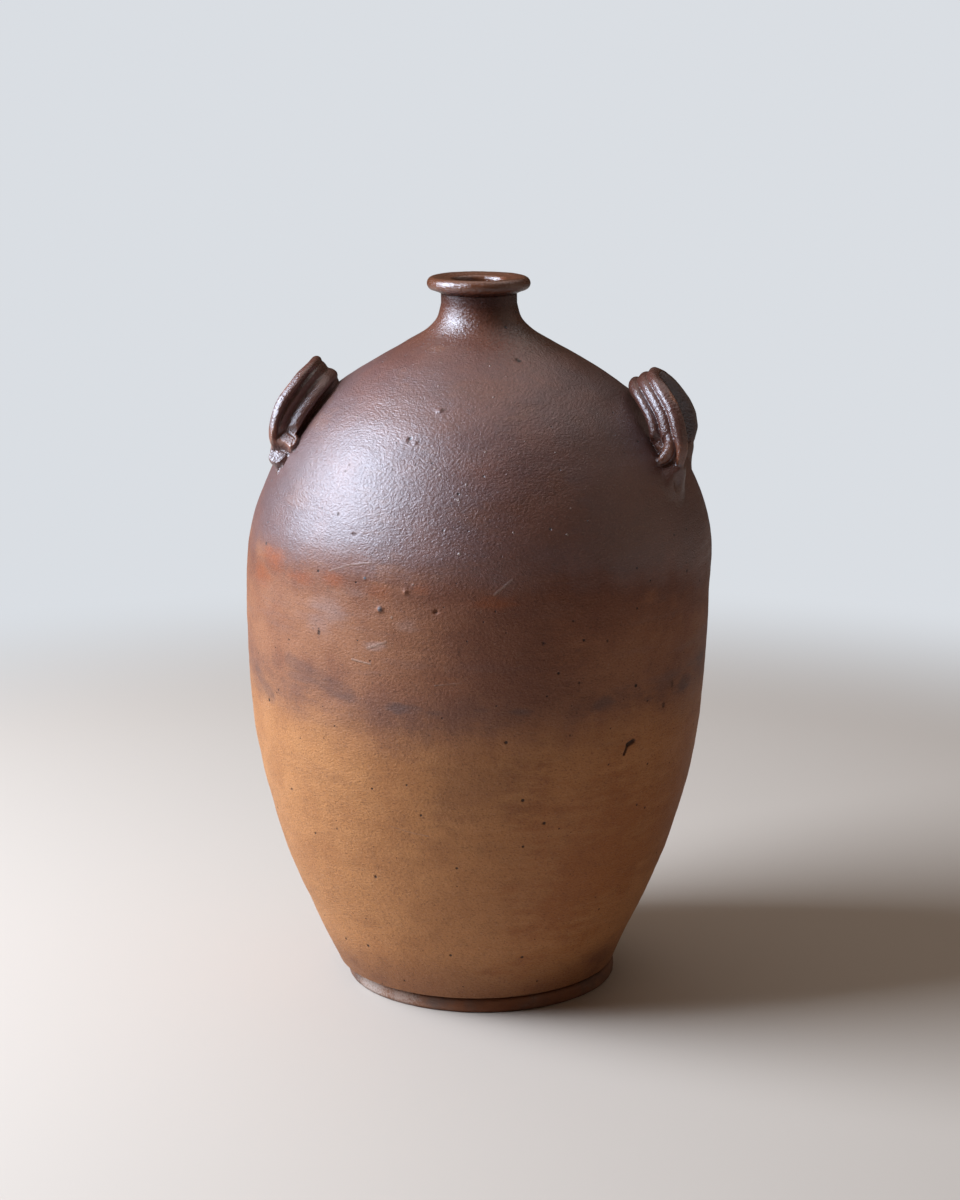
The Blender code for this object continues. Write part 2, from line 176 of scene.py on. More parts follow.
def outline(heights):
    """Radius and slope of the wall's outer face, straight above the waist and below the heel."""
    heights = np.asarray(heights, float)
    radius, slope = WALL_CURVE(np.clip(heights, HEEL_HEIGHT, WAIST_HEIGHT))
    return radius, np.where((heights > WAIST_HEIGHT) | (heights < HEEL_HEIGHT), 0, slope)


def inner_radius(heights):
    radius, slope = outline(heights)
    share = np.clip((heights - HEEL_HEIGHT) / (WAIST_HEIGHT - HEEL_HEIGHT), 0, 1)
    wall = WALL_AT_FOOT + (WALL_AT_NECK - WALL_AT_FOOT) * share
    return np.maximum(BORE_RADIUS, radius - wall * np.sqrt(1 + slope * slope))


def around(azimuths):
    azimuths = np.asarray(azimuths, float)
    return np.stack([np.cos(azimuths), np.sin(azimuths), np.zeros_like(azimuths)], axis=-1)


def lean(heights):
    return LEAN_CURVE(heights)[0][:, None] * SIDEWAYS


# Marks in the glaze: azimuth in degrees, height, reach, how proud they stand, and stretch up the wall

MARKS = {
    "grey_blister": (-110.3, 0.361, 0.0024, 0.0019, 1.0),
    "pale_blister": (-104.2, 0.3761, 0.002, 0.0012, 1.0),
    "low_blister": (-114.6, 0.384, 0.0013, 0.0006, 1.0),
    "shoulder_nick": (-101.9, 0.5074, 0.0026, 0.0014, 0.7),
    "shoulder_pit": (-109.5, 0.4871, 0.0017, -0.0011, 1.5),
    "sheen_nick": (-119.1, 0.4161, 0.0018, -0.0009, 0.6),
    "shoulder_grit": (-107.3, 0.4847, 0.0015, 0.0008, 1.0),
    "pinhole": (-96.8, 0.3617, 0.0016, -0.0018, 1.0),
    "neck_crater": (-60.8, 0.5396, 0.0028, -0.001, 1.0),
    "back_blister": (72.0, 0.414, 0.0024, 0.0011, 1.0),
    "back_pit": (118.0, 0.25, 0.002, -0.0012, 1.3),
}
# A gouge in the tan glaze, as runs from place to place with their reach
GOUGE = (((-46.2, 0.2446), (-48.0, 0.2424), 0.0017), ((-48.0, 0.2424), (-48.9, 0.235), 0.0011))
GOUGE_DEPTH = 0.0016
MARK_MARGIN = 2.6


def wall_spot(azimuth, height):
    """Plain point on the wall's outer face, before any unevenness."""
    radius = outline([height])[0][0]
    return around(radians(azimuth)) * radius + UP * height


def distance_to(points, start, end):
    """Distance of each point from a straight run between two points."""
    run = end - start
    share = np.clip((points - start) @ run / (run @ run), 0, 1)
    return np.linalg.norm(points - start - share[:, None] * run, axis=1)


def marks(points):
    """How far the marks stand out of the wall at each plain point."""
    proud = np.zeros(len(points))
    for azimuth, height, reach, depth, stretch in MARKS.values():
        away = points - wall_spot(azimuth, height)
        away[:, 2] /= stretch
        proud += depth * np.exp(-(np.linalg.norm(away, axis=1) / reach) ** 2)
    away = np.min([distance_to(points, wall_spot(*start), wall_spot(*end)) / reach
                   for start, end, reach in GOUGE], axis=0)
    return proud - GOUGE_DEPTH * np.exp(-away ** 4)


THROWING_PITCH = 0.0125


def unevenness(points):
    """Lumps, throwing ridges and ripples of the wall, in metres outwards."""
    stretched = points * (1, 1, 2.2)
    lumps = 0.0011 * noise(points, 0.11, 3.1) + 0.00045 * noise(stretched, 0.045, 7.7)
    wobble = 0.01 * noise(points, 0.16, 1.3)
    strength = 0.5 + 0.5 * noise(points, 0.09, 5.5)
    ridges = 0.00006 * strength * np.sin(2 * pi * (points[:, 2] + wobble) / THROWING_PITCH)
    fine = 0.00009 * noise(stretched, 0.012, 2.2)
    return lumps + ridges + fine


def wall_surface(azimuths, heights):
    """Points of the wall's finished outer face."""
    radius, slope = outline(heights)
    out = around(azimuths)
    plain = out * radius[:, None] + UP * heights[:, None]
    normal = (out - UP * slope[:, None]) / np.sqrt(1 + slope * slope)[:, None]
    calm = (np.clip((heights - HEEL_HEIGHT) / 0.02, 0, 1)
            * np.clip((RIM_JOINT + 0.01 - heights) / 0.05, 0.15, 1))
    proud = unevenness(plain) * calm + marks(plain)
    return plain + normal * proud[:, None] + lean(heights)


def wall_normals(azimuths, heights, step=0.0005):
    radius = outline(heights)[0]
    middle = wall_surface(azimuths, heights)
    along = wall_surface(azimuths + step / radius, heights) - middle
    upwards = wall_surface(azimuths, heights + step) - middle
    return unit(np.cross(along, upwards))


# Mesh helpers

def add_piece(name, mesh):
    piece = bpy.data.objects.new(name, mesh)
    bpy.context.scene.collection.objects.link(piece)
    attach(piece, "root")
    return piece


def grid_faces(rows, columns, round_rows=True, round_columns=False):
    """Faces of a grid of points, whose rows or columns can run round to their start."""
    index = np.arange(rows * columns).reshape(rows, columns)
    if round_rows:
        index = np.concatenate([index, index[:, :1]], axis=1)
    if round_columns:
        index = np.concatenate([index, index[:1]])
    corners = (index[:-1, :-1], index[:-1, 1:], index[1:, 1:], index[1:, :-1])
    return np.stack(corners, axis=-1).reshape(-1, 4).tolist()


def turned_points(section, columns):
    """Rings of points, turned from a section of (radius, height) points."""
    section = np.asarray(section, float)[:, None]
    spokes = around(np.arange(columns) * 2 * pi / columns)
    return (spokes * section[..., :1] + UP * section[..., 1:]).reshape(-1, 3)


def turned_mesh(name, points, rows):
    """Closed ring through rows of turned points, as a mesh and as its bmesh."""
    mesh = bpy.data.meshes.new(name)
    mesh.from_pydata(points.tolist(), [], grid_faces(rows, len(points) // rows, True, True))
    shape = bmesh.new()
    shape.from_mesh(mesh)
    return mesh, shape


def finish_mesh(mesh, shape):
    """Turn the faces outwards, write the bmesh back and shade it smooth."""
    bmesh.ops.recalc_face_normals(shape, faces=shape.faces)
    shape.to_mesh(mesh)
    shape.free()
    mesh.shade_smooth()


def arc(radius, z, tube, start, end, steps):
    angles = np.radians(np.linspace(start, end, steps + 1))
    return [(radius + tube * cos(a), z + tube * sin(a)) for a in angles]


def spaced(low, high, step):
    return np.linspace(low, high, max(2, round((high - low) / step) + 1))


def profile_heights(low, high, step):
    """Heights spaced evenly along the wall's outline."""
    fine = np.linspace(low, high, 2000)
    length = run_length(fine, outline(fine)[0])
    return np.interp(spaced(0, length[-1], step), length, fine)


def refine_marks(shape):
    """Divide the faces round each mark of the outer face more finely."""
    spots = [(wall_spot(azimuth, height), reach * MARK_MARGIN)
             for azimuth, height, reach, _, _ in MARKS.values()]
    for start, end, reach in GOUGE:
        start, end = wall_spot(*start), wall_spot(*end)
        spots += [(start + (end - start) * share, reach * MARK_MARGIN) for share in (0, 1 / 3, 2 / 3, 1)]
    for widening in (2.0, 1.5, 1.15):
        near = set()
        for spot, reach in spots:
            for face in shape.faces:
                centre = face.calc_center_median()
                if abs(centre.z - spot[2]) < reach * widening and \
                        (centre - Vector(spot)).length < reach * widening + 0.001:
                    near.add(face)
        edges = {edge for face in near for edge in face.edges}
        if edges:
            bmesh.ops.subdivide_edges(shape, edges=list(edges), cuts=1, use_grid_fill=True)


def turned_wall(name, low, high, low_edge=()):
    """One thrown section of the wall: finished outer face, plain inner face."""
    outer_heights = profile_heights(low, high, ROW_STEP)
    inner_heights = profile_heights(HEEL_HEIGHT if low_edge else low, high, INSIDE_ROW_STEP)[::-1]
    section = [*zip(outline(outer_heights)[0], outer_heights),
               *zip(inner_radius(inner_heights), inner_heights), *low_edge]
    mesh, shape = turned_mesh(name, turned_points(section, COLUMNS), len(section))
    outer_layer = shape.verts.layers.float.new("outer")
    shape.verts.ensure_lookup_table()
    for k in range(len(outer_heights) * COLUMNS):
        shape.verts[k][outer_layer] = 1.0
    refine_marks(shape)
    outer = np.array([vert[outer_layer] > 0.999 for vert in shape.verts])
    places = np.array([vert.co for vert in shape.verts])
    azimuths, heights = azimuth_of(places), places[:, 2]
    places[~outer] += lean(heights[~outer])
    places[outer] = wall_surface(azimuths[outer], heights[outer])
    for vert, place in zip(shape.verts, places):
        vert.co = place
    finish_mesh(mesh, shape)
    normals = np.zeros((len(places), 3))
    normals[outer] = wall_normals(azimuths[outer], heights[outer])
    mesh.normals_split_custom_set_from_vertices(normals.tolist())
    return add_piece(name, mesh)


def turned_piece(name, section, shape_of, columns):
    """A closed ring turned from a section, with each plain point moved by shape_of(points)."""
    points = shape_of(turned_points(section, columns))
    mesh, shape = turned_mesh(name, points, len(section))
    finish_mesh(mesh, shape)
    return add_piece(name, mesh)


# Wall pieces

def make_walls():
    low = HEEL_HEIGHT + HEEL_ROUND
    radius = outline([low])[0][0]
    inner = inner_radius(np.array([HEEL_HEIGHT]))[0]
    underside = [(r, HEEL_HEIGHT) for r in spaced(inner, radius - HEEL_ROUND, 0.002)[1:]]
    heel = underside + arc(radius - HEEL_ROUND, low, HEEL_ROUND, -90, 0, 5)[1:-1]
    pieces = [turned_wall("lower_wall_glazed", low, LOW_JOINT, heel),
              turned_wall("belly_wall_glazed", LOW_JOINT, BELLY_JOINT),
              turned_wall("shoulder_glazed", BELLY_JOINT, NECK_JOINT),
              turned_wall("neck_glazed", NECK_JOINT, RIM_JOINT)]
    for piece, node, slot in zip(pieces, ("lower_wall", "belly_wall", "shoulder_dome", "neck_collar"),
                                 ("tan_glaze", "red_brown_glaze", "dark_glaze", "dark_glaze")):
        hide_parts(node)
    return pieces


LIP_TUBE = 0.0054
LIP_START, LIP_END = -60, 95     # where the roll's arc begins and ends, in degrees
LIP_DISH = 0.0015
MOUTH_ROUND = 0.0035
RIM_COLUMNS = 320
LIP_UNDERSIDE = ((-0.0012, 0.0), (-0.0003, 0.0004), (0.0012, 0.001), (0.0034, 0.0021))


def rim_shape(points):
    """The lip is a little uneven in height and width, and leans as the neck does."""
    azimuths = azimuth_of(points)
    share = np.clip((np.hypot(points[:, 0], points[:, 1]) - NECK_RADIUS) / (LIP_RADIUS - NECK_RADIUS), 0, 1)
    out = around(azimuths)
    wide = 0.0004 * noise(out, 1.1, 4.0) + 0.0002 * noise(out, 0.35, 9.0)
    tall = 0.0004 * noise(out, 0.9, 14.0) + 0.0002 * noise(out, 0.3, 19.0)
    moved = points + out * (wide * share)[:, None]
    moved[:, 2] += tall * share + 0.00008 * noise(points, 0.004, 2.0)
    return moved + lean(points[:, 2])


def make_rim():
    ring, middle = LIP_RADIUS - LIP_TUBE, JAR_HEIGHT - LIP_TUBE
    underside = [(NECK_RADIUS + out, RIM_JOINT + up) for out, up in LIP_UNDERSIDE]
    roll = arc(ring, middle, LIP_TUBE, LIP_START, LIP_END, 26)
    start, run = np.array(roll[-1]), np.array([BORE_RADIUS + MOUTH_ROUND, JAR_HEIGHT - LIP_DISH]) - roll[-1]
    dish = [tuple(start + run * (share, (1 - cos(pi * share)) / 2)) for share in np.arange(1, 8) / 8]
    mouth = arc(BORE_RADIUS + MOUTH_ROUND, JAR_HEIGHT - LIP_DISH - MOUTH_ROUND, MOUTH_ROUND, 90, 180, 8)
    bore = [(BORE_RADIUS, z) for z in spaced(RIM_JOINT, mouth[-1][1], 0.0012)[::-1][1:]]
    under = [(r, RIM_JOINT) for r in spaced(BORE_RADIUS, underside[0][0], 0.002)[1:-1]]
    piece = turned_piece("rim_lip", underside + roll + dish + mouth + bore + under, rim_shape, RIM_COLUMNS)
    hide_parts("rim_roll")
    return piece


FOOT_LOW_ROUND = 0.0022
FOOT_TOP_ROUND = 0.0028
FOOT_INSET = 0.0008              # how far the band's face stands inside its widest line
FOOT_BATTER = 0.0006             # how far the face leans in over its height
FOOT_FACE = 0.006
FOOT_GAP = 0.0003
FOOT_UNEVEN = 0.111              # radius from which the band is uneven


def foot_shape(points):
    """The foot band is uneven, chipped here and there, and sits a little off the wall's axis."""
    azimuths = azimuth_of(points)
    out = around(azimuths)
    outside = np.clip((np.hypot(points[:, 0], points[:, 1]) - FOOT_UNEVEN) / 0.003, 0, 1)
    high = np.clip(points[:, 2] / FOOT_HEIGHT, 0, 1)
    wide = 0.0007 * noise(out, 0.8, 21.0) + 0.0003 * noise(points, 0.012, 3.0)
    wide += 0.00012 * noise(points * (1, 1, 2), 0.003, 8.0)
    tall = 0.0009 * noise(out, 0.5, 31.0) + 0.00035 * noise(points, 0.01, 5.0)
    moved = points + out * (wide * outside)[:, None]
    moved[:, 2] += tall * outside * high
    return moved + FOOT_SHIFT * SIDEWAYS


def make_foot():
    inside, outside = BASE_RADIUS + FOOT_GAP, FOOT_RADIUS - FOOT_INSET
    low = arc(outside - FOOT_LOW_ROUND, FOOT_LOW_ROUND, FOOT_LOW_ROUND, -90, -10, 6)
    face = [(outside - FOOT_BATTER * k / 4, FOOT_LOW_ROUND + FOOT_FACE * k / 4) for k in range(1, 5)]
    top_round = FOOT_TOP_ROUND
    high = arc(outside - FOOT_BATTER - top_round, FOOT_HEIGHT - top_round, top_round, 12, 90, 6)
    top = [(r, FOOT_HEIGHT) for r in spaced(inside, high[-1][0], 0.0008)[::-1][1:]]
    back = [(inside, z) for z in spaced(0, FOOT_HEIGHT, 0.003)[::-1][1:]]
    floor = [(r, 0.0) for r in spaced(inside, low[0][0], 0.0012)[1:-1]]
    piece = turned_piece("foot_band", low + face + high + top + back + floor, foot_shape, COLUMNS)
    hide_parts("foot_ring")
    return piece


# Handles

# Each is modelled in its own measures: forward of its middle (towards the viewer), up the slope of the
# wall from its feet (the rise), and off the wall (the lift)
STRAP_HALF_THICKNESS = 0.0031
STRAP_CREST = 0.006
STRAP_LOWEST = -0.022
STRAP_STATIONS = 210
RIB_WAVER = 0.014                # how far the ribs waver across the strap, as a share of it
RIB_SWELL = 0.12
TUBE_STATIONS, TUBE_POINTS = 44, 24
PAD_STATIONS, PAD_POINTS = 64, 41
SKIRT_COLUMNS, SKIRT_ROWS = 61, 81
SKIRT_PROUD = 0.0005
SKIRT_DIVE = 0.0007
VOXEL = 0.0006
SUNK = 0.0035                    # depth under the glaze of the pads' and skirts' undersides

# The tables inner and outer hold the lift of the strap's edges against the rise, in millimetres. A rib is
# (place across the strap from -0.5 at the wall to 0.5, half width inwards and outwards, height, roundness,
# rise where it ends), and a crease (place, half width, depth). The front terminal has a pad (inset, rise of
# its top and its tail, half widths, sway), rolls (path, radii), balls (centre, half axes, turn), a skirt
# (forward, rise, reach forward and up), presses (centre, plane, reach) and hollows (centre, half axes,
# depth, turn)
SIDES = {
    "right": {
        "middle": radians(-6.0), "front": -1, "foot": 0.449, "seed": 0.3,
        "span": 0.0535, "rise": 0.077, "squareness": 2.7, "lean": radians(24.0),
        "crown_calm": 0.3, "soften": 120, "soft_below": (0.003, 0.012),
        "inner": ((-40, -2.0), (26, -2.0), (31, -0.8), (38, 2.6), (46, 5.0), (60, 6.2), (77, 7.0)),
        "outer_front": (
            (-40, 0.2), (-29, 0.4), (-20, 2.4), (-12, 6.8), (-4, 13.0), (4, 19.6), (10, 24.2), (18, 29.2),
            (28, 33.4), (36, 35.4), (46, 36.2), (60, 35.8), (77, 33.0)),
        "outer_back": (
            (-40, 0.2), (-26, 0.4), (-17, 3.2), (-8, 9.0), (-2, 14.0), (5, 19.4), (13, 24.2), (26, 29.2),
            (37, 30.8), (48, 31.2), (65, 31.6), (77, 32.5)),
        "ribs": ((-0.35, 0.15, 0.185, 0.0042, 0.6, 0.029), (0.015, 0.18, 0.15, 0.0036, 0.6, 0.024),
                 (0.315, 0.16, 0.15, 0.0038, 0.65, 0.003)),
        "creases": ((-0.166, 0.034, 0.0012), (0.158, 0.016, 0.0005), (0.478, 0.018, -0.0008)),
        "pad": (0.007, 0.012, -0.038, (9.0, 14.5, 17.5, 17.5, 15.0, 9.5, 4.0), 0.008),
        "rolls": ((((46.5, 38, 19.0), (48.0, 29, 18.0), (49.8, 21.5, 15.6), (51.0, 16.4, 10.8),
                    (53.6, 13.2, 5.0), (59.0, 12.0, 0.0)), (3.2, 4.3, 5.0, 5.0, 4.4, 2.6)),),
        "balls": (),
        "skirt": (0.051, -0.002, 0.026, 0.04),
        "presses": (),
        "hollows": (
            ((51.5, -8.5, 6.0), (4.6, 6.4, 9.0), 4.4), ((51.0, -0.5, 7.5), (4.6, 1.8, 6.0), -1.0),
            ((57.0, -21.0, 1.0), (3.0, 8.0, 3.0), 0.7, 0.45), ((52.0, 23.5, 5.5), (5.0, 4.0, 5.0), 1.6)),
    },
    "left": {
        "middle": pi, "front": 1, "foot": 0.455, "seed": 0.8,
        "span": 0.0525, "rise": 0.0768, "squareness": 2.7, "lean": radians(8.0),
        "crown_calm": 0.55, "soften": 40, "soft_below": (-0.012, -0.004),
        "inner": ((-40, -2.0), (20, -2.0), (30, -1.6), (46, -1.2), (60, -1.0), (77.5, -0.8)),
        "outer_front": (
            (-40, -1.5), (-16, -1.5), (-11, 2.2), (-8, 5.8), (-4, 9.6), (2, 14.6), (9.5, 20.2), (17, 25.2),
            (24.5, 28.4), (32, 30.6), (41, 31.8), (60, 31.8), (77.5, 30.0)),
        "outer_back": (
            (-40, 0.2), (-26, 0.4), (-17, 2.2), (-8, 6.2), (-2, 10.0), (5, 14.6), (13, 19.6), (26, 25.8),
            (37, 28.6), (48, 29.8), (65, 30.2), (77.5, 30.0)),
        "ribs": ((-0.225, 0.125, 0.225, 0.0064, 0.85, 0.014), (0.15, 0.09, 0.12, 0.0012, 0.7, 0.015),
                 (0.385, 0.12, 0.12, 0.0036, 0.6, 0.003)),
        "creases": ((0.19, 0.022, -0.0007), (0.282, 0.04, 0.001), (-0.5, 0.15, 0.0016)),
        "pad": (0.004, 0.01, -0.006, (5.5, 8.0, 7.0, 4.5, 2.0, 1.0), -0.004),
        "rolls": (),
        "balls": (((51.0, 14.5, 5.0), (10.0, 9.0, 11.0), 0.2), ((46.0, -0.5, 4.0), (9.0, 8.0, 8.5), 0.2)),
        "skirt": (0.047, 0.005, 0.019, 0.022),
        "presses": (
            ((57.5, 14.0, 6.0), (0.66, 0.24, 0.71), 16.0), ((57.0, 17.5, 11.5), (0.93, 0.1, 0.3), 8.0),
            ((52.0, -3.0, 5.2), (0.66, 0.24, 0.71), 15.0), ((53.0, -1.5, 2.0), (0.95, 0.05, 0.2), 7.0)),
        "hollows": (
            ((51.0, 6.0, 6.0), (9.0, 1.1, 9.0), 0.8, 0.25), ((52.0, 20.5, 7.0), (8.0, 0.9, 9.0), 0.7, -0.1)),
    },
}
BACK_PAD = (0.01, -0.03, (5.5, 9.0, 10.5, 10.0, 8.0, 5.0, 2.0))
BACK_SKIRT = (-0.002, 0.024, 0.038)
BACK_HOLLOW = ((-51.0, -8.0, 5.0), (4.4, 6.0, 7.0), 2.4)

SLOPE_HEIGHTS = np.linspace(0.36, WAIST_HEIGHT, 3000)
SLOPE_LENGTHS = run_length(SLOPE_HEIGHTS, outline(SLOPE_HEIGHTS)[0])


def slope_length(height):
    return np.interp(height, SLOPE_HEIGHTS, SLOPE_LENGTHS)


def climb(height, rise):
    """Height reached after going a distance up the slope of the wall."""
    return np.interp(slope_length(height) + np.asarray(rise, float), SLOPE_LENGTHS, SLOPE_HEIGHTS)


def radius_at(place):
    """Radius of the wall halfway up a handle, by which its forward measure turns into an angle."""
    return outline([climb(place["foot"], place["rise"] / 2)])[0][0]


def handle_frames(side, forward, rise):
    """Points on the wall with the directions out of it, up its slope and forward."""
    place = SIDES[side]
    azimuths = place["middle"] + place["front"] * np.asarray(forward, float) / radius_at(place)
    heights = climb(place["foot"], rise) + np.zeros_like(azimuths)
    slope = outline(heights)[1][:, None]
    steep = np.sqrt(1 + slope * slope)
    out = around(azimuths)
    normal, slope_up = (out - UP * slope) / steep, (out * slope + UP) / steep
    return wall_surface(azimuths, heights), normal, slope_up, np.cross(normal, slope_up) * -place["front"]


def handle_points(side, forward, rise, lift):
    point, normal, _, _ = handle_frames(side, np.ravel(forward), np.ravel(rise))
    return point + normal * np.ravel(lift + 0 * forward)[:, None]


def spot_axes(side, centre, turn=0.0):
    """Place of a (forward, rise, lift) spot in millimetres, and its turned axes forward, up and out."""
    forward, rise, lift = np.array(centre) / 1000
    point, normal, slope_up, ahead = (item[0] for item in handle_frames(side, [forward], [rise]))
    first = ahead * cos(turn) + slope_up * sin(turn)
    return point + normal * lift, (first, slope_up * cos(turn) - ahead * sin(turn), normal)


def add_loft(shape, rings):
    """Add a closed tube through rings of points to a bmesh, with both ends closed."""
    rings = np.asarray(rings)
    verts = [shape.verts.new(point) for point in rings.reshape(-1, 3).tolist()]
    columns = rings.shape[1]
    for face in [*grid_faces(len(rings), columns), range(columns), range(len(verts) - columns, len(verts))]:
        shape.faces.new([verts[k] for k in face])


def arch_line(side):
    """Evenly spaced stations from the front tail over the arch to the back tail: forward and rise."""
    place = SIDES[side]
    angle = np.linspace(0, pi, 6001)[1:-1]
    forward = place["span"] * np.sign(np.cos(angle)) * np.abs(np.cos(angle)) ** (2 / place["squareness"])
    rise = place["rise"] * np.sin(angle) ** (2 / place["squareness"])
    tail = np.linspace(STRAP_LOWEST, 0, 200, endpoint=False)
    drift = 0.12 * (tail / STRAP_LOWEST) ** 2 * -STRAP_LOWEST
    forward = np.concatenate([forward[0] + drift, forward, forward[-1] - drift[::-1]])
    rise = np.concatenate([tail, rise, tail[::-1]])
    length = run_length(forward, rise)
    even = np.linspace(0, length[-1], STRAP_STATIONS)
    return np.interp(even, length, forward), np.interp(even, length, rise), even


def by_rise(table, rise):
    """Value of a table of millimetres at each rise, in metres."""
    return make_curve(table)(rise * 1000)[0] / 1000


def strap_rings(side):
    """Ribbed section swept along the arch, ribs waver a little and fade out at the ends."""
    place = SIDES[side]
    forward, rise, length = arch_line(side)
    inner = by_rise(place["inner"], rise)
    outer = np.where(forward > 0, by_rise(place["outer_front"], rise), by_rise(place["outer_back"], rise))
    outer -= 0.004 * (1 - smooth_step(rise, -0.004, 0.012)) * np.minimum(1, outer / 0.012)
    point, normal, slope_up, _ = handle_frames(side, forward, rise)
    lean_now = place["lean"] * np.clip(rise / place["rise"], 0, 1)[:, None] ** 2.5
    across = normal * np.cos(lean_now) - slope_up * np.sin(lean_now)
    width = (outer - inner) / np.cos(lean_now[:, 0])
    centre = point + normal * ((inner + outer) / 2)[:, None]
    outward = unit(np.cross(np.gradient(centre, axis=0), across))
    if (outward * (centre - centre.mean(axis=0))).sum() < 0:
        outward = -outward
    step = np.linspace(0, 1, 97)
    outer_share = ((step - 0.5) + -np.cos(pi * step) / 2) / 2
    inner_share = np.cos(pi * np.arange(1, 32) / 32) / 2
    track = length[:, None] * (1, 0, 0) + (0, 0, place["seed"])
    wander, swell = noise(track, 0.028), noise(track + (0, 0.3, 0), 0.02)
    thickness = STRAP_HALF_THICKNESS * (0.55 + 0.45 * smooth_step(rise, -0.02, 0.01))
    crown = smooth_step(rise, place["rise"] - 0.014, place["rise"])
    rings = []
    for k in range(len(forward)):
        relief = np.zeros_like(outer_share)
        for middle, inner_width, outer_width, height, roundness, ends in place["ribs"]:
            fade = smooth_step(rise[k], ends - 0.0015, ends + 0.005) * (1 - place["crown_calm"] * crown[k])
            away = outer_share - middle - RIB_WAVER * wander[k]
            away = away / np.where(away < 0, inner_width, outer_width)
            relief += height * fade * (1 + RIB_SWELL * swell[k]) * np.maximum(0, 1 - away ** 2) ** roundness
        calm = smooth_step(rise[k], 0.016, 0.03) * (1 - 0.8 * crown[k])
        for middle, half_width, depth in place["creases"]:
            away = (outer_share - middle - RIB_WAVER * wander[k]) / half_width
            relief -= depth * calm * np.exp(-away ** 2)
        edge = np.sqrt(1 - np.minimum(1, np.abs(2 * outer_share)) ** 6)
        depth = np.concatenate([(thickness[k] + relief) * edge,
                                -thickness[k] * np.sqrt(1 - np.abs(2 * inner_share) ** 4)]) - STRAP_CREST
        share = np.concatenate([outer_share, inner_share])
        rings.append(centre[k] + across[k] * (share * width[k])[:, None] + outward[k] * depth[:, None])
    return rings


def tube_rings(side, path, radii):
    """Round tube through (forward, rise, lift) points in millimetres, with rounded ends."""
    share = np.linspace(0, 1, TUBE_STATIONS)
    smooth = [catmull(values, share) for values in np.array(path).T / 1000]
    radius = np.interp(share, np.linspace(0, 1, len(radii)), radii) / 1000
    end = np.minimum(share, 1 - share) / 0.07
    radius = radius * np.sqrt(np.clip(1 - (1 - np.minimum(1, end)) ** 2, 0.03, 1))
    line = handle_points(side, *smooth)
    tangent = unit(np.gradient(line, axis=0))
    first = unit(np.cross(tangent, handle_frames(side, smooth[0], smooth[1])[1]))
    second = np.cross(first, tangent)
    turn = (np.arange(TUBE_POINTS) * 2 * pi / TUBE_POINTS)[:, None]
    return [middle + size * (np.cos(turn) * one + np.sin(turn) * other)
            for middle, size, one, other in zip(line, radius, first, second)]


def catmull(values, shares):
    """Smooth curve through evenly spaced values."""
    padded = np.concatenate(([2 * values[0] - values[1]], values, [2 * values[-1] - values[-2]]))
    place = np.clip(shares * (len(values) - 1), 0, len(values) - 1 - 1e-9)
    k = place.astype(int)
    t = place - k
    a, b, c, d = (padded[k + j] for j in range(4))
    return 0.5 * (2 * b + (c - a) * t + (2 * a - 5 * b + 4 * c - d) * t ** 2
                  + (3 * b - a - 3 * c + d) * t ** 3)


def pad_rings(side, forward, table, top, tail, half_widths, sway=0.0):
    """Mound of clay, luted from the wall to the strap's end and thumbed out to a thin tail."""
    side_share = -np.cos(np.linspace(0, pi, PAD_POINTS))
    lift_share = (1 - np.abs(side_share) ** 2.1) ** 1.2
    under_share = np.linspace(1, -1, 11)[1:-1]
    rings = []
    for share in np.linspace(0, 1, PAD_STATIONS):
        rise = top + (tail - top) * share
        sunk = 0.0024 * float(smooth_step(rise, -0.002, 0.01))
        height = max(float(by_rise(table, np.array([rise]))[0]) - sunk, 0.0004)
        height *= 1 - 0.55 * max(0, 1 - share / 0.3)
        half = np.interp(share, np.linspace(0, 1, len(half_widths)), half_widths) / 1000
        across = forward + sway * share + np.concatenate([side_share, under_share]) * half
        lift = np.concatenate([lift_share * height - 0.0006, np.full(len(under_share), -SUNK)])
        rings.append(handle_points(side, across, np.full(len(across), rise), lift))
    return rings


def add_skirt(shape, side, forward, rise, reach_forward, reach_rise):
    """Thin patch that lies on the wall round a pad and dives under the glaze at its border."""
    across, along = np.meshgrid(np.linspace(-1, 1, SKIRT_COLUMNS), np.linspace(-1, 1, SKIRT_ROWS))
    away = np.hypot(across, along)
    square = np.maximum(np.abs(across), np.abs(along))
    scale = np.where(away > 0, square / np.maximum(away, 1e-9), 1)
    lift = SKIRT_PROUD * (1 - smooth_step(square, 0.35, 0.85)) - SKIRT_DIVE * smooth_step(square, 0.55, 0.95)
    forwards, rises = forward + across * scale * reach_forward, rise + along * scale * reach_rise
    points = np.concatenate([handle_points(side, forwards, rises, depth) for depth in (lift, -SUNK)])
    verts = [shape.verts.new(point) for point in points.tolist()]
    count = len(verts) // 2
    for face in grid_faces(SKIRT_ROWS, SKIRT_COLUMNS, False):
        shape.faces.new([verts[k] for k in face])
        shape.faces.new([verts[k + count] for k in reversed(face)])
    index = np.arange(count).reshape(SKIRT_ROWS, SKIRT_COLUMNS)
    border = [*index[0], *index[1:, -1], *index[-1, -2::-1], *index[-2:0:-1, 0]]
    for here, following in zip(border, border[1:] + border[:1]):
        shape.faces.new([verts[k] for k in (following, here, here + count, following + count)])


def add_ball(shape, side, centre, sizes, turn=0.0):
    """Flattened ball with half axes forward, up the slope and off the wall, in millimetres."""
    point, axes = spot_axes(side, centre, turn)
    basis = Matrix([axis * size for axis, size in zip(axes, np.array(sizes) / 1000)]).transposed().to_4x4()
    bmesh.ops.create_icosphere(shape, subdivisions=4, radius=1, matrix=Matrix.Translation(point) @ basis)


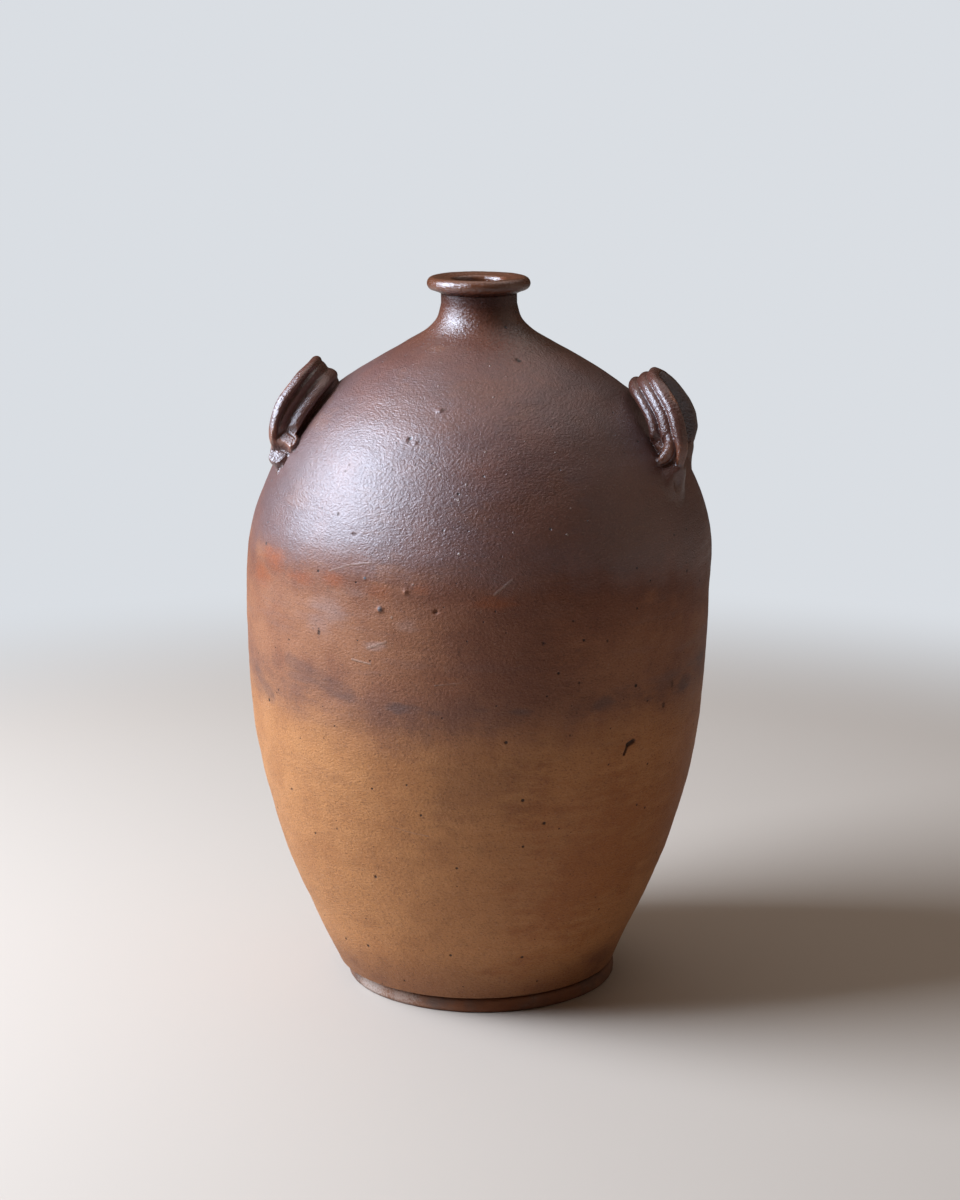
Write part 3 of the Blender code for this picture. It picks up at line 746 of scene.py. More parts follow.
def remeshed(name, shape):
    """Fuse the closed forms of a bmesh into one even mesh."""
    bmesh.ops.recalc_face_normals(shape, faces=shape.faces)
    mesh = bpy.data.meshes.new(name)
    shape.to_mesh(mesh)
    shape.free()
    piece = bpy.data.objects.new(name, mesh)
    bpy.context.scene.collection.objects.link(piece)
    modifier = piece.modifiers.new("fuse", "REMESH")
    modifier.mode = "VOXEL"
    modifier.voxel_size = VOXEL
    modifier.adaptivity = 0
    fused = bpy.data.meshes.new_from_object(piece.evaluated_get(bpy.context.evaluated_depsgraph_get()))
    bpy.data.objects.remove(piece)
    bpy.data.meshes.remove(mesh)
    fused.name = name
    return fused


class Skin:
    """Points of a mesh with their neighbours, for smoothing and carving."""

    def __init__(self, mesh):
        self.mesh = mesh
        count = len(mesh.vertices)
        self.points = np.zeros(count * 3)
        mesh.vertices.foreach_get("co", self.points)
        self.points = self.points.reshape(-1, 3)
        edges = np.zeros(len(mesh.edges) * 2, int)
        mesh.edges.foreach_get("vertices", edges)
        edges = edges.reshape(-1, 2)
        self.start = np.concatenate([edges[:, 0], edges[:, 1]])
        self.end = np.concatenate([edges[:, 1], edges[:, 0]])
        self.count = np.bincount(self.start, minlength=count)[:, None]

    def average(self, values):
        total = np.stack([np.bincount(self.start, weights=values[self.end, axis], minlength=len(values))
                          for axis in range(values.shape[1])], axis=1)
        return total / self.count

    def smooth(self, rounds, weight):
        for _ in range(rounds):
            self.points += (self.average(self.points) - self.points) * weight

    def normals(self):
        self.store()
        normals = np.zeros(len(self.points) * 3)
        self.mesh.vertices.foreach_get("normal", normals)
        return normals.reshape(-1, 3)

    def store(self):
        self.mesh.vertices.foreach_set("co", self.points.ravel())
        self.mesh.update()

    def crests(self, rounds=14, reach=0.0007):
        """How far each point stands out of its surroundings, about -1 to 1."""
        calm = self.points.copy()
        for _ in range(rounds):
            calm += (self.average(calm) - calm) * 0.6
        out = ((self.points - calm) * self.normals()).sum(axis=1) / reach
        return self.average(out[:, None])[:, 0]


def lift_off(points):
    """Distance of each point from the plain wall."""
    straight = points - lean(points[:, 2])
    radius, slope = outline(points[:, 2])
    return (np.hypot(straight[:, 0], straight[:, 1]) - radius) / np.sqrt(1 + slope * slope)


def carve(skin, side, centre, sizes, depth, turn=0.0):
    """Press a smooth oval hollow, or raise a bump where the depth is negative."""
    point, axes = spot_axes(side, centre, turn)
    away = [(skin.points - point) @ axis / size for axis, size in zip(axes, np.array(sizes) / 1000)]
    share = np.exp(-sum(part ** 2 for part in away))
    skin.points -= axes[2] * (depth / 1000 * share)[:, None]


def press(skin, side, centre, facing, reach):
    """Flatten what stands proud of a plane round a spot, with its normal as forward, up and out."""
    point, axes = spot_axes(side, centre)
    plane = sum(axis * share for axis, share in zip(axes, np.array(facing) / np.linalg.norm(facing)))
    away = skin.points - point
    proud = away @ plane
    across = np.linalg.norm(away - proud[:, None] * plane, axis=1)
    share = 1 - smooth_step(across, reach * 0.7 / 1000, reach / 1000)
    skin.points -= plane * (np.maximum(proud, 0) * share)[:, None]


def arch_shade_share(skin, side, rise):
    """Share of painted shade: 1 on the strap's inner face, which looks into the arch."""
    place = SIDES[side]
    turn = (azimuth_of(skin.points) - place["middle"] + pi) % (2 * pi) - pi
    forward = turn * radius_at(place) * place["front"]
    _, _, slope_up, ahead = handle_frames(side, forward, rise)
    outward = unit(ahead * forward[:, None] + slope_up * (rise - place["rise"] * 0.3)[:, None])
    facing = (outward * skin.normals()).sum(axis=1)
    return smooth_step(-facing, 0.05, 0.55) * smooth_step(rise, 0.006, 0.018)


def handle_form(side):
    """The handle's strap, pads, rolls and balls of clay, fused into one even mesh."""
    place = SIDES[side]
    shape = bmesh.new()
    add_loft(shape, strap_rings(side))
    span = place["span"] - STRAP_CREST + STRAP_HALF_THICKNESS
    inset, *front_pad = place["pad"]
    add_loft(shape, pad_rings(side, span - inset, place["outer_front"], *front_pad))
    for path, radii in place["rolls"]:
        add_loft(shape, tube_rings(side, path, radii))
    for ball in place["balls"]:
        add_ball(shape, side, *ball)
    add_loft(shape, pad_rings(side, -span + 0.001, place["outer_back"], *BACK_PAD))
    for skirt in (place["skirt"], (-span, *BACK_SKIRT)):
        add_skirt(shape, side, *skirt)
    return remeshed(side + "_handle_glazed", shape)


def make_handle(side):
    place = SIDES[side]
    mesh = handle_form(side)
    skin = Skin(mesh)
    lift = lift_off(skin.points)
    rise = slope_length(skin.points[:, 2]) - slope_length(place["foot"])
    near = np.clip((0.006 - lift) / 0.004, 0, 1)
    skin.smooth(2, 0.5)
    skin.smooth(8, 0.55 * near[:, None])
    skin.smooth(place["soften"], 0.6 * (1 - smooth_step(rise, *place["soft_below"]))[:, None])
    for spot in place["presses"]:
        press(skin, side, *spot)
    for spot in (*place["hollows"], BACK_HOLLOW):
        carve(skin, side, *spot)
    lumps = 0.00022 * noise(skin.points, 0.009, 6.0) + 0.0001 * noise(skin.points, 0.0035, 9.0)
    skin.points += skin.normals() * (lumps * smooth_step(lift, 0.0, 0.002))[:, None]
    worn_feet = (smooth_step(rise, 0.004, 0.014) * (1 - smooth_step(rise, 0.026, 0.042))
                 * smooth_step(lift, 0.001, 0.004))
    proud = lift - by_rise(place["outer_front"], rise)
    edge = smooth_step(proud, -0.0026, -0.001) * smooth_step(rise, 0.006, 0.014)
    # Painted shade: the strap's inner face, which looks into the arch, is pushed below the hollows so that it
    # takes their dark colour
    crest_and_shade = skin.crests() - 1.3 * arch_shade_share(skin, side, rise) + 0.55 * worn_feet + 0.8 * edge
    skin.store()
    mesh.attributes.new("crest_and_shade", "FLOAT", "POINT").data.foreach_set("value", crest_and_shade.astype(np.float32))
    mesh.shade_smooth()
    piece = add_piece(mesh.name, mesh)
    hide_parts(side + "_handle_strap", side + "_front_terminal", side + "_back_terminal")
    return piece


# Materials

class Nodes:
    """Short calls for building one material's node tree."""

    def __init__(self, name):
        self.material = bpy.data.materials.new(name)
        self.material.use_nodes = True
        self.tree = self.material.node_tree
        self.place = self.add("ShaderNodeTexCoord").outputs["Object"]

    def add(self, kind, inputs=None, **settings):
        """New node with its settings, and with values or links in its inputs."""
        node = self.tree.nodes.new(kind)
        for key, value in settings.items():
            setattr(node, key, value)
        self.fill(node, inputs or {})
        return node

    def fill(self, node, inputs):
        """Link an output to each input, or set a plain value; a colour gets its alpha."""
        for key, value in inputs.items():
            socket = node.inputs[key]
            if isinstance(value, bpy.types.NodeSocket):
                self.tree.links.new(value, socket)
            elif isinstance(value, tuple) and len(socket.default_value) == 4:
                socket.default_value = (*value, 1)
            else:
                socket.default_value = value

    def shade(self, inputs):
        """Fill in the material's own shader."""
        self.fill(self.tree.nodes["Principled BSDF"], inputs)
        return self.material

    def math(self, operation, *values, clamp=False):
        node = self.add("ShaderNodeMath", dict(enumerate(values)), operation=operation, use_clamp=clamp)
        return node.outputs[0]

    def vector(self, operation, first, second=(0, 0, 0)):
        inputs = {0: first, "Scale" if operation == "SCALE" else 1: second}
        node = self.add("ShaderNodeVectorMath", inputs, operation=operation)
        return node.outputs["Value" if operation in ("LENGTH", "DISTANCE", "DOT_PRODUCT") else "Vector"]

    def axes(self, vector):
        """X, Y and Z of a vector or a colour."""
        return self.add("ShaderNodeSeparateXYZ", {0: vector}).outputs

    def stretch(self, scale):
        """Coordinates scaled along X, Y and Z."""
        return self.add("ShaderNodeMapping", {"Vector": self.place, "Scale": scale}).outputs[0]

    def noise(self, size, detail, roughness, place=None, seed=0.0):
        """Noise from 0 to 1 with features of the given size in metres."""
        inputs = {"Vector": place or self.place, "W": seed, "Scale": 1 / size, "Detail": detail,
                  "Roughness": roughness}
        return self.add("ShaderNodeTexNoise", inputs, noise_dimensions="4D").outputs["Fac"]

    def steps(self, value, low, high, to_low=0.0, to_high=1.0, kind="SMOOTHSTEP"):
        """Go from one value to another while an input goes from low to high."""
        inputs = dict(enumerate((value, low, high, to_low, to_high)))
        return self.add("ShaderNodeMapRange", inputs, interpolation_type=kind).outputs[0]

    def mix(self, share, first, second):
        inputs = {"Factor": share, "A": first, "B": second}
        return self.add("ShaderNodeMix", inputs, data_type="RGBA").outputs["Result"]

    def tint(self, first, second, *fade):
        """Turn from a first colour to a second as steps(*fade) says."""
        return self.mix(self.steps(*fade), first, second)

    def shift(self, value, noise, reach):
        """Move a value up and down by a noise."""
        return self.math("MULTIPLY_ADD", self.math("SUBTRACT", noise, 0.5), reach, value)

    def bump(self, height, strength, distance, normal=None):
        inputs = {"Height": height, "Strength": strength, "Distance": distance}
        if normal:
            inputs["Normal"] = normal
        return self.add("ShaderNodeBump", inputs).outputs[0]


# Colours of the bare clay and the glazes
DARK = (0.12, 0.048, 0.04)
DARK_WARM = (0.165, 0.06, 0.04)
DARK_COOL = (0.105, 0.052, 0.05)
RED_EDGE = (0.245, 0.064, 0.018)
RED_DEEP = (0.145, 0.048, 0.026)
MID_BROWN = (0.292, 0.12, 0.056)
MID_DEEP = (0.205, 0.072, 0.033)
SMEAR = (0.21, 0.112, 0.088)
SMOKE = (0.13, 0.064, 0.048)
TAN = (0.455, 0.2, 0.07)
TAN_DEEP = (0.38, 0.156, 0.052)
# Darker brown of the tan glaze in patches; low on the right, away from the window, it is also painted shade
TAN_BROWN_AND_SHADE = (0.262, 0.076, 0.014)
HALO = (0.2, 0.074, 0.029)
SPECK = (0.06, 0.026, 0.018)
# Pale grit, also the colour of the painted highlight along a throwing ridge
PALE_GRIT_AND_GLINT = (0.32, 0.22, 0.17)
WORN = (0.3, 0.102, 0.042)
RIM_BROWN = (0.142, 0.048, 0.021)
HANDLE_RED = (0.105, 0.033, 0.019)
NECK_BROWN = (0.134, 0.048, 0.026)
HAZE = (0.33, 0.205, 0.17)
PIT_DARK = (0.018, 0.01, 0.008)
WORN_CLAY = (0.42, 0.35, 0.31)
# Dark colour of glaze pooled in hollows, also used as painted shade on the strap's inner face and under the
# lip
POOLED_GLAZE_AND_SHADE = (0.05, 0.014, 0.01)
CLAY = (0.245, 0.118, 0.07)
CLAY_DEEP = (0.125, 0.075, 0.058)
CLAY_PALE = (0.27, 0.18, 0.135)
CLAY_SPECK = (0.06, 0.035, 0.028)
# Painted shade where the foot band meets the floor
CLAY_FLOOR_SHADE = (0.1, 0.04, 0.022)
# Painted shade on the foot band's front: darker, redder clay
FOOT_FRONT_SHADE = (0.175, 0.052, 0.016)
BLISTER_GREY = (0.085, 0.105, 0.13)
MARK_COLOURS = {
    "grey_blister": BLISTER_GREY, "low_blister": BLISTER_GREY, "pinhole": PIT_DARK, "neck_crater": PIT_DARK,
    "shoulder_grit": PIT_DARK, "shoulder_pit": PIT_DARK, "back_pit": PIT_DARK}

BAND_TILT = 0.095                # the glaze bands lie this much out of level, front to back
BAND_SLANT = 0.084               # and the dark glaze runs lower on the right
BAND_SAG = 0.6                   # the smoke's lower border hangs lower at the front and the back

# Borders of the bands: height, softness, and how far the broad waves and the fraying move them
BORDERS = {
    "middle": (0.238, 0.032, 0.03, 0.016), "smoke_low": (0.246, 0.018, 0.04, 0.02),
    "smoke_high": (0.276, 0.016, 0.05, 0.02), "red_low": (0.346, 0.02, 0.05, 0.016),
    "red_high": (0.4, 0.02, 0.05, 0.01), "dark": (0.371, 0.015, 0.05, 0.016),
    "sheen": (0.372, 0.02, 0.045, 0.014)}
# Heights between which the glaze changes on the heel, the neck and the lip, and, for the last two, between
# which shade is painted under the lip
HEEL_FADE = (0.014, 0.065)
NECK_FADE = (0.528, 0.56)
NECK_GLOSS = (0.515, 0.55)
RIM_FADE = (0.545, 0.575)
RIM_DULL = (0.562, 0.578)
LIP_SHADE_START = (0.566, 0.584)
LIP_SHADE_END = (0.5915, 0.588)

# Patches in the bands: azimuth in degrees, height, reach, how flat they are, strength
SMOKE_PATCHES = (
    (-156, 0.269, 0.03, 3.0, 0.35), (-133, 0.293, 0.026, 5.0, 0.5), (-121, 0.286, 0.022, 4.5, 0.55),
    (-105, 0.282, 0.03, 2.6, 0.95), (-96, 0.28, 0.022, 3.4, 0.7), (-87, 0.283, 0.022, 3.6, 0.6),
    (-78, 0.281, 0.018, 3.0, 0.85), (-57, 0.28, 0.026, 2.8, 0.85), (-42, 0.277, 0.018, 3.5, 0.55),
    (-27, 0.277, 0.028, 2.2, 0.9), (-14, 0.29, 0.03, 2.0, 0.9), (8, 0.278, 0.036, 2.8, 0.7),
    (34, 0.27, 0.04, 3.2, 0.8), (68, 0.276, 0.034, 2.6, 0.7), (96, 0.266, 0.042, 3.4, 0.85),
    (128, 0.272, 0.03, 3.0, 0.6), (158, 0.28, 0.04, 3.2, 0.7), (-98.7, 0.262, 0.012, 0.7, 0.35))
RED_PATCHES = (
    (-146, 0.384, 0.022, 1.5, 1.0), (-154, 0.367, 0.03, 2.2, 0.8), (-123, 0.381, 0.02, 2.2, 0.8),
    (-134, 0.376, 0.022, 3.0, 0.7), (-111, 0.374, 0.016, 2.0, 0.45), (-100, 0.379, 0.014, 2.0, 0.45),
    (-84, 0.37, 0.026, 3.4, 0.55), (60, 0.38, 0.04, 3.0, 0.7), (120, 0.372, 0.036, 2.6, 0.8),
    (175, 0.38, 0.036, 2.6, 0.8))
# Brown patches of the glaze; the three low ones on the right, the side away from the window, are also painted
# shade of that side
BROWN_AND_SHADE_PATCHES = (
    (-52, 0.14, 0.11, 0.8, 0.7), (-20, 0.18, 0.11, 0.8, 0.65), (20, 0.12, 0.1, 0.8, 0.4),
    (-70, 0.43, 0.06, 1.3, 0.9), (-78, 0.398, 0.04, 1.8, 0.8), (-56, 0.404, 0.036, 2.0, 0.55),
    (-45, 0.44, 0.07, 1.2, 0.6), (-80, 0.335, 0.085, 1.0, 0.72), (-58, 0.352, 0.045, 1.4, 0.4),
    (-84, 0.52, 0.04, 2.0, 0.6), (-120, 0.505, 0.05, 2.4, 0.5), (-98, 0.495, 0.03, 2.2, 0.4),
    (95, 0.43, 0.07, 1.6, 0.8))
HAZE_PATCHES = (
    (-123.8, 0.356, 0.024, 1.6, 0.42), (-127, 0.343, 0.016, 1.4, 0.34), (-111.2, 0.331, 0.011, 2.2, 0.5),
    (-117, 0.372, 0.015, 2.0, 0.4), (-104, 0.349, 0.014, 1.8, 0.3), (140, 0.34, 0.03, 2.0, 0.5))
HALO_PATCHES = (
    (-141, 0.03, 0.022, 1.6, 0.7), (-128, 0.022, 0.024, 2.0, 0.6), (-36, 0.036, 0.034, 1.5, 0.85),
    (-60, 0.02, 0.03, 2.4, 0.5), (-143.4, 0.277, 0.01, 1.0, 0.35), (-88, 0.222, 0.06, 1.3, 0.42))
PITS = (
    (-127.2, 0.3352, 0.0021, 0.6, 0.95), (-138.1, 0.3224, 0.0014, 1.0, 0.85),
    (-143.4, 0.2765, 0.0016, 1.0, 0.75), (-71.8, 0.3357, 0.002, 1.0, 0.9), (-64.7, 0.3517, 0.0016, 1.2, 0.9),
    (-62.7, 0.3009, 0.0015, 1.0, 0.85), (-55.5, 0.3322, 0.0014, 1.0, 0.85),
    (-63.2, 0.2767, 0.0013, 1.0, 0.8), (-36.0, 0.2682, 0.0026, 0.6, 0.8), (-64.6, 0.2585, 0.0014, 1.0, 0.8),
    (-32.8, 0.2833, 0.0028, 0.5, 0.7), (-19.5, 0.3603, 0.0018, 1.0, 0.75),
    (-101.0, 0.5076, 0.0024, 2.0, 0.9), (-109.8, 0.4845, 0.0014, 1.0, 0.85),
    (-106.2, 0.4855, 0.0014, 1.0, 0.85), (-105.7, 0.4697, 0.0013, 1.0, 0.8),
    (-112.3, 0.4648, 0.0013, 1.0, 0.8), (-126.8, 0.4645, 0.0013, 1.0, 0.75),
    (-129.6, 0.4882, 0.0012, 1.0, 0.75), (-119.1, 0.4161, 0.002, 2.0, 0.9),
    (-125.3, 0.4289, 0.0014, 1.0, 0.8))
PALE_SPOTS = [(*spot, 1.0, 0.8) for spot in (
    (-98.3, 0.4633, 0.0016), (-91.0, 0.4567, 0.0015), (-92.9, 0.446, 0.0015), (-85.8, 0.4798, 0.0014),
    (-81.6, 0.5165, 0.0014), (-73.4, 0.5298, 0.0013), (-112.3, 0.5383, 0.0015))]
PALE_SPOTS += [(-107.3, 0.3555, 0.0016, 1.0, 0.6), (-102.5, 0.3819, 0.0014, 1.0, 0.6)]
# Painted shade on the foot band's front, towards the viewer
FOOT_FRONT_SHADE_PATCHES = ((-84, 0.006, 0.075, 1.0, 0.75), (-50, 0.006, 0.05, 1.0, 0.5))
WORN_PATCHES = ((-140, 0.008, 0.032, 1.0, 0.8), (-121, 0.007, 0.022, 1.6, 0.5))

# Lines in the glaze: the places they run through, as azimuth and height, then reach and strength
SMEAR_LINES = (
    (((-138.0, 0.3055), (-128.0, 0.297)), 0.01, 0.46), (((-128.0, 0.297), (-118.5, 0.288)), 0.01, 0.5),
    (((-156.0, 0.284), (-147.0, 0.268)), 0.009, 0.5))
SCRATCHES_AND_RIDGE_GLINT = (
    (((-117.4, 0.3177), (-112.5, 0.316)), 0.0012, 0.55), (((-113.2, 0.3287), (-108.6, 0.3351)), 0.0016, 0.35),
    (((-96.8, 0.3028), (-92.0, 0.305), (-87.2, 0.3067)), 0.001, 0.5),
    # Painted highlight: these two runs are the glint along a small throwing ridge, drawn as pale lines
    (((-124.9, 0.3854), (-119.0, 0.3928)), 0.0011, 0.26), (((-119.0, 0.3928), (-113.3, 0.3962)), 0.0011, 0.3),
    (((-83.6, 0.3757), (-79.6, 0.387)), 0.0013, 0.4),
    (((-109.0, 0.1806), (-104.0, 0.177), (-99.3, 0.1747)), 0.0009, 0.4))

# How the glaze shines, from its matt tan part to its dark part
ROUGHNESS = (0.58, 0.43)
SHINE = (0.16, 0.58)
REFRACTION = 1.85
SHEEN_TINT = (0.86, 0.92, 1.0)


def leaning_spot(azimuth, height):
    """Point on the wall's outer face as the jar leans."""
    return wall_spot(azimuth, height) + lean(np.array([height]))[0]


def spot_share(nodes, name):
    """1 at the middle of a mark, falling to 0 at its edge."""
    azimuth, height, reach, _, _ = MARKS[name]
    away = nodes.vector("DISTANCE", nodes.place, tuple(leaning_spot(azimuth, height)))
    return nodes.steps(away, reach * 0.4, reach * 1.2, 1.0, 0.0)


def scratch_share(nodes, start, end, reach):
    """1 along a straight scratch between two places (azimuth, height), falling to 0 beside it."""
    start, end = leaning_spot(*start), leaning_spot(*end)
    run = end - start
    offset = nodes.vector("SUBTRACT", nodes.place, tuple(start))
    along = nodes.vector("DOT_PRODUCT", offset, tuple(run / (run @ run)))
    nearest = nodes.vector("SCALE", tuple(run), nodes.math("MULTIPLY", along, 1.0, clamp=True))
    return nodes.steps(nodes.vector("DISTANCE", offset, nearest), reach * 0.3, reach, 1.0, 0.0)


def lines(nodes, table):
    """The strongest of a table's lines at each place."""
    strongest = 0.0
    for places, reach, strength in table:
        for start, end in zip(places, places[1:]):
            here = nodes.math("MULTIPLY", scratch_share(nodes, start, end, reach), strength)
            strongest = nodes.math("MAXIMUM", strongest, here)
    return strongest


def patches(nodes, table, ragged):
    """The strongest of a table's patches at each place, with ragged borders."""
    strongest = 0.0
    for azimuth, height, reach, flat, strength in table:
        offset = nodes.vector("SUBTRACT", nodes.place, tuple(leaning_spot(azimuth, height)))
        away = nodes.vector("LENGTH", nodes.vector("MULTIPLY", offset, (1, 1, flat)))
        here = nodes.steps(nodes.shift(away, ragged, reach * 2.4), reach * 0.15, reach, strength, 0.0)
        strongest = nodes.math("MAXIMUM", strongest, here)
    return strongest


def scattered(nodes, size, share, small, large, place=None):
    """Spots of mixed sizes, one at most in each cell of the given size; share is how many cells have one."""
    cells = nodes.add("ShaderNodeTexVoronoi", {"Vector": place or nodes.place, "Scale": 1 / size})
    chance, luck, _ = nodes.axes(cells.outputs["Color"])
    reach = nodes.math("MULTIPLY_ADD", nodes.math("POWER", luck, 3.0), (large - small) / size, small / size)
    close = nodes.steps(nodes.math("DIVIDE", cells.outputs["Distance"], reach), 0.6, 1.25, 1.0, 0.0)
    return nodes.math("MULTIPLY", close, nodes.math("LESS_THAN", chance, share))


def glaze_material(name, gloss=0.0, wear_and_shade=False):
    """Salt glaze that turns from tan at the foot through smoke and red brown to a dark shoulder."""
    nodes = Nodes(name)
    x, y, z = nodes.axes(nodes.place)
    level = nodes.math("MULTIPLY_ADD", y, BAND_TILT, z)
    dark_level = nodes.math("MULTIPLY_ADD", x, BAND_SLANT, level)
    smoke_level = nodes.math("MULTIPLY_ADD", nodes.math("MULTIPLY", x, x), -BAND_SAG, level)
    smears = nodes.stretch((0.35, 0.35, 2.2))
    broad = nodes.noise(0.15, 3, 0.55)
    cloud = nodes.noise(0.05, 4, 0.6, seed=8.0)
    drips = nodes.noise(0.022, 3, 0.6, place=nodes.stretch((1, 1, 0.22)), seed=4.0)
    smear = nodes.noise(0.055, 4, 0.65, place=smears, seed=3.0)
    wisp = nodes.noise(0.016, 4, 0.7, place=smears, seed=5.0)
    mottle = nodes.noise(0.009, 4, 0.65, seed=2.0)
    grain = nodes.noise(0.002, 2, 0.6, place=nodes.stretch((1, 1, 1.6)), seed=6.0)
    ragged = nodes.shift(cloud, wisp, 0.6)

    def edge(place, border):
        """0 below a wavy, frayed border and 1 above it."""
        height, soft, spread, frayed = BORDERS[border]
        moved = nodes.shift(nodes.shift(place, broad, spread), wisp, frayed)
        return nodes.steps(nodes.shift(moved, drips, frayed * 1.5), height - soft, height + soft)

    # Tan below, red brown above it, and smoke over their border
    low = nodes.tint(TAN, TAN_DEEP, cloud, 0.35, 0.7)
    low = nodes.tint(low, HALO, smear, 0.54, 0.74, 0.0, 0.3)
    low = nodes.tint(low, HALO, z, *HEEL_FADE, 0.65, 0.0)
    brown = patches(nodes, BROWN_AND_SHADE_PATCHES, ragged)
    # Tan turns darker brown in patches, which low on the right is also painted shade
    low = nodes.mix(brown, low, TAN_BROWN_AND_SHADE)
    low = nodes.mix(patches(nodes, HALO_PATCHES, ragged), low, HALO)
    middle = nodes.tint(MID_BROWN, MID_DEEP, cloud, 0.35, 0.7)
    middle = nodes.tint(middle, SMEAR, smear, 0.52, 0.72, 0.0, 0.55)
    middle = nodes.mix(brown, middle, RED_DEEP)
    middle = nodes.mix(patches(nodes, HAZE_PATCHES, ragged), middle, HAZE)
    colour = nodes.mix(edge(smoke_level, "middle"), low, middle)
    haze = nodes.math("SUBTRACT", edge(smoke_level, "smoke_low"), edge(smoke_level, "smoke_high"))
    smoke = nodes.math("MULTIPLY", haze, nodes.steps(ragged, 0.35, 0.65, 0.05, 0.45), clamp=True)
    smoke = nodes.math("MAXIMUM", smoke, patches(nodes, SMOKE_PATCHES, ragged), clamp=True)
    colour = nodes.mix(smoke, colour, SMOKE)
    smudge = nodes.math("MULTIPLY", lines(nodes, SMEAR_LINES), nodes.steps(wisp, 0.3, 0.6, 0.5, 1.0))
    colour = nodes.mix(smudge, colour, SMOKE)

    # Dark glaze on the shoulder, with a redder border
    top = nodes.tint(DARK, DARK_WARM, cloud, 0.38, 0.68)
    top = nodes.tint(top, DARK_COOL, broad, 0.45, 0.65, 0.0, 0.8)
    top = nodes.mix(brown, top, RED_DEEP)
    top = nodes.tint(top, NECK_BROWN, z, *NECK_FADE, 0.0, 0.6)
    dark = edge(dark_level, "dark")
    under = nodes.math("SUBTRACT", edge(dark_level, "red_low"), edge(dark_level, "red_high"))
    under = nodes.math("MULTIPLY", under, nodes.steps(ragged, 0.3, 0.6, 0.3, 0.85), clamp=True)
    colour = nodes.mix(under, colour, RED_DEEP)
    colour = nodes.mix(nodes.math("MULTIPLY", dark, nodes.steps(ragged, 0.3, 0.45, 0.8, 1.0)), colour, top)
    colour = nodes.mix(patches(nodes, RED_PATCHES, ragged), colour, RED_EDGE)

    # Speckle, pits and pale grit, and a painted highlight along a throwing ridge
    colour = nodes.tint(colour, SPECK, mottle, 0.45, 0.8, 0.0, 0.2)
    colour = nodes.tint(colour, SPECK, grain, 0.5, 0.72, 0.0, 0.5)
    colour = nodes.tint(colour, PALE_GRIT_AND_GLINT, grain, 0.44, 0.26, 0.0, 0.28)
    pit = nodes.math("MAXIMUM", scattered(nodes, 0.01, 0.34, 0.0005, 0.0016), patches(nodes, PITS, grain))
    colour = nodes.mix(nodes.math("MULTIPLY", pit, 0.9), colour, PIT_DARK)
    grit_and_glint = scattered(nodes, 0.0105, 0.5, 0.0004, 0.0012, nodes.stretch((1, 1, 1.15)))
    grit_and_glint = nodes.math("MAXIMUM", nodes.math("MULTIPLY", grit_and_glint, dark), patches(nodes, PALE_SPOTS, grain))
    grit_and_glint = nodes.math("MAXIMUM", grit_and_glint, lines(nodes, SCRATCHES_AND_RIDGE_GLINT))
    colour = nodes.mix(nodes.math("MULTIPLY", grit_and_glint, 0.85), colour, PALE_GRIT_AND_GLINT)

    # Marks of their own
    for spot, tone in MARK_COLOURS.items():
        colour = nodes.mix(spot_share(nodes, spot), colour, tone)
    for start, end, reach in GOUGE:
        colour = nodes.mix(scratch_share(nodes, start, end, reach * 1.7), colour, PIT_DARK)
    # Handle and rim colours, worn crests, glaze pooled in hollows, and painted shade on the strap's inner
    # face
    if wear_and_shade:
        colour = nodes.mix(0.65, colour, nodes.tint(HANDLE_RED, RIM_BROWN, z, *RIM_FADE))
        crest_and_shade = nodes.add("ShaderNodeAttribute", attribute_name="crest_and_shade").outputs["Fac"]
        colour = nodes.tint(colour, WORN, crest_and_shade, 0.2, 1.0, 0.0, 0.62)
        # Darker where glaze pools in hollows; on the strap's inner face this is painted shade
        colour = nodes.tint(colour, POOLED_GLAZE_AND_SHADE, crest_and_shade, -0.1, -0.7, 0.0, 0.8)
    # Painted shade under the lip and on the top of the neck
    painted_lip_shade = nodes.math("MULTIPLY", nodes.steps(z, *LIP_SHADE_END, 0.0, 0.75), nodes.steps(z, *LIP_SHADE_START))
    colour = nodes.mix(painted_lip_shade, colour, POOLED_GLAZE_AND_SHADE)

    # Shine, orange peel and relief
    sheen = edge(dark_level, "sheen")
    matt, glossy = (value - gloss for value in ROUGHNESS)
    rough = nodes.steps(sheen, 0.0, 1.0, matt, glossy, kind="LINEAR")
    rough = nodes.math("SUBTRACT", rough, nodes.steps(z, *NECK_GLOSS, 0.0, 0.16))
    rough = nodes.math("MULTIPLY_ADD", pit, 0.25, nodes.shift(rough, mottle, 0.12), clamp=True)
    shine = nodes.steps(sheen, 0.0, 1.0, *SHINE, kind="LINEAR")
    if not wear_and_shade:
        shine = nodes.math("MULTIPLY", shine, nodes.steps(z, *RIM_DULL, 1.0, 0.35))
    peel = nodes.noise(0.0018, 3, 0.6, place=nodes.stretch((0.8, 0.8, 1.2)), seed=12.0)
    sand = nodes.noise(0.0012, 2, 0.6, seed=14.0)
    normal = nodes.bump(nodes.math("MULTIPLY_ADD", sand, 0.18, peel), 1.0, 0.00085)
    normal = nodes.bump(nodes.math("SUBTRACT", grit_and_glint, pit), 1.0, 0.0006, normal)
    return nodes.shade({"Base Color": colour, "Roughness": rough, "IOR": REFRACTION,
                        "Specular IOR Level": shine, "Specular Tint": SHEEN_TINT, "Normal": normal})


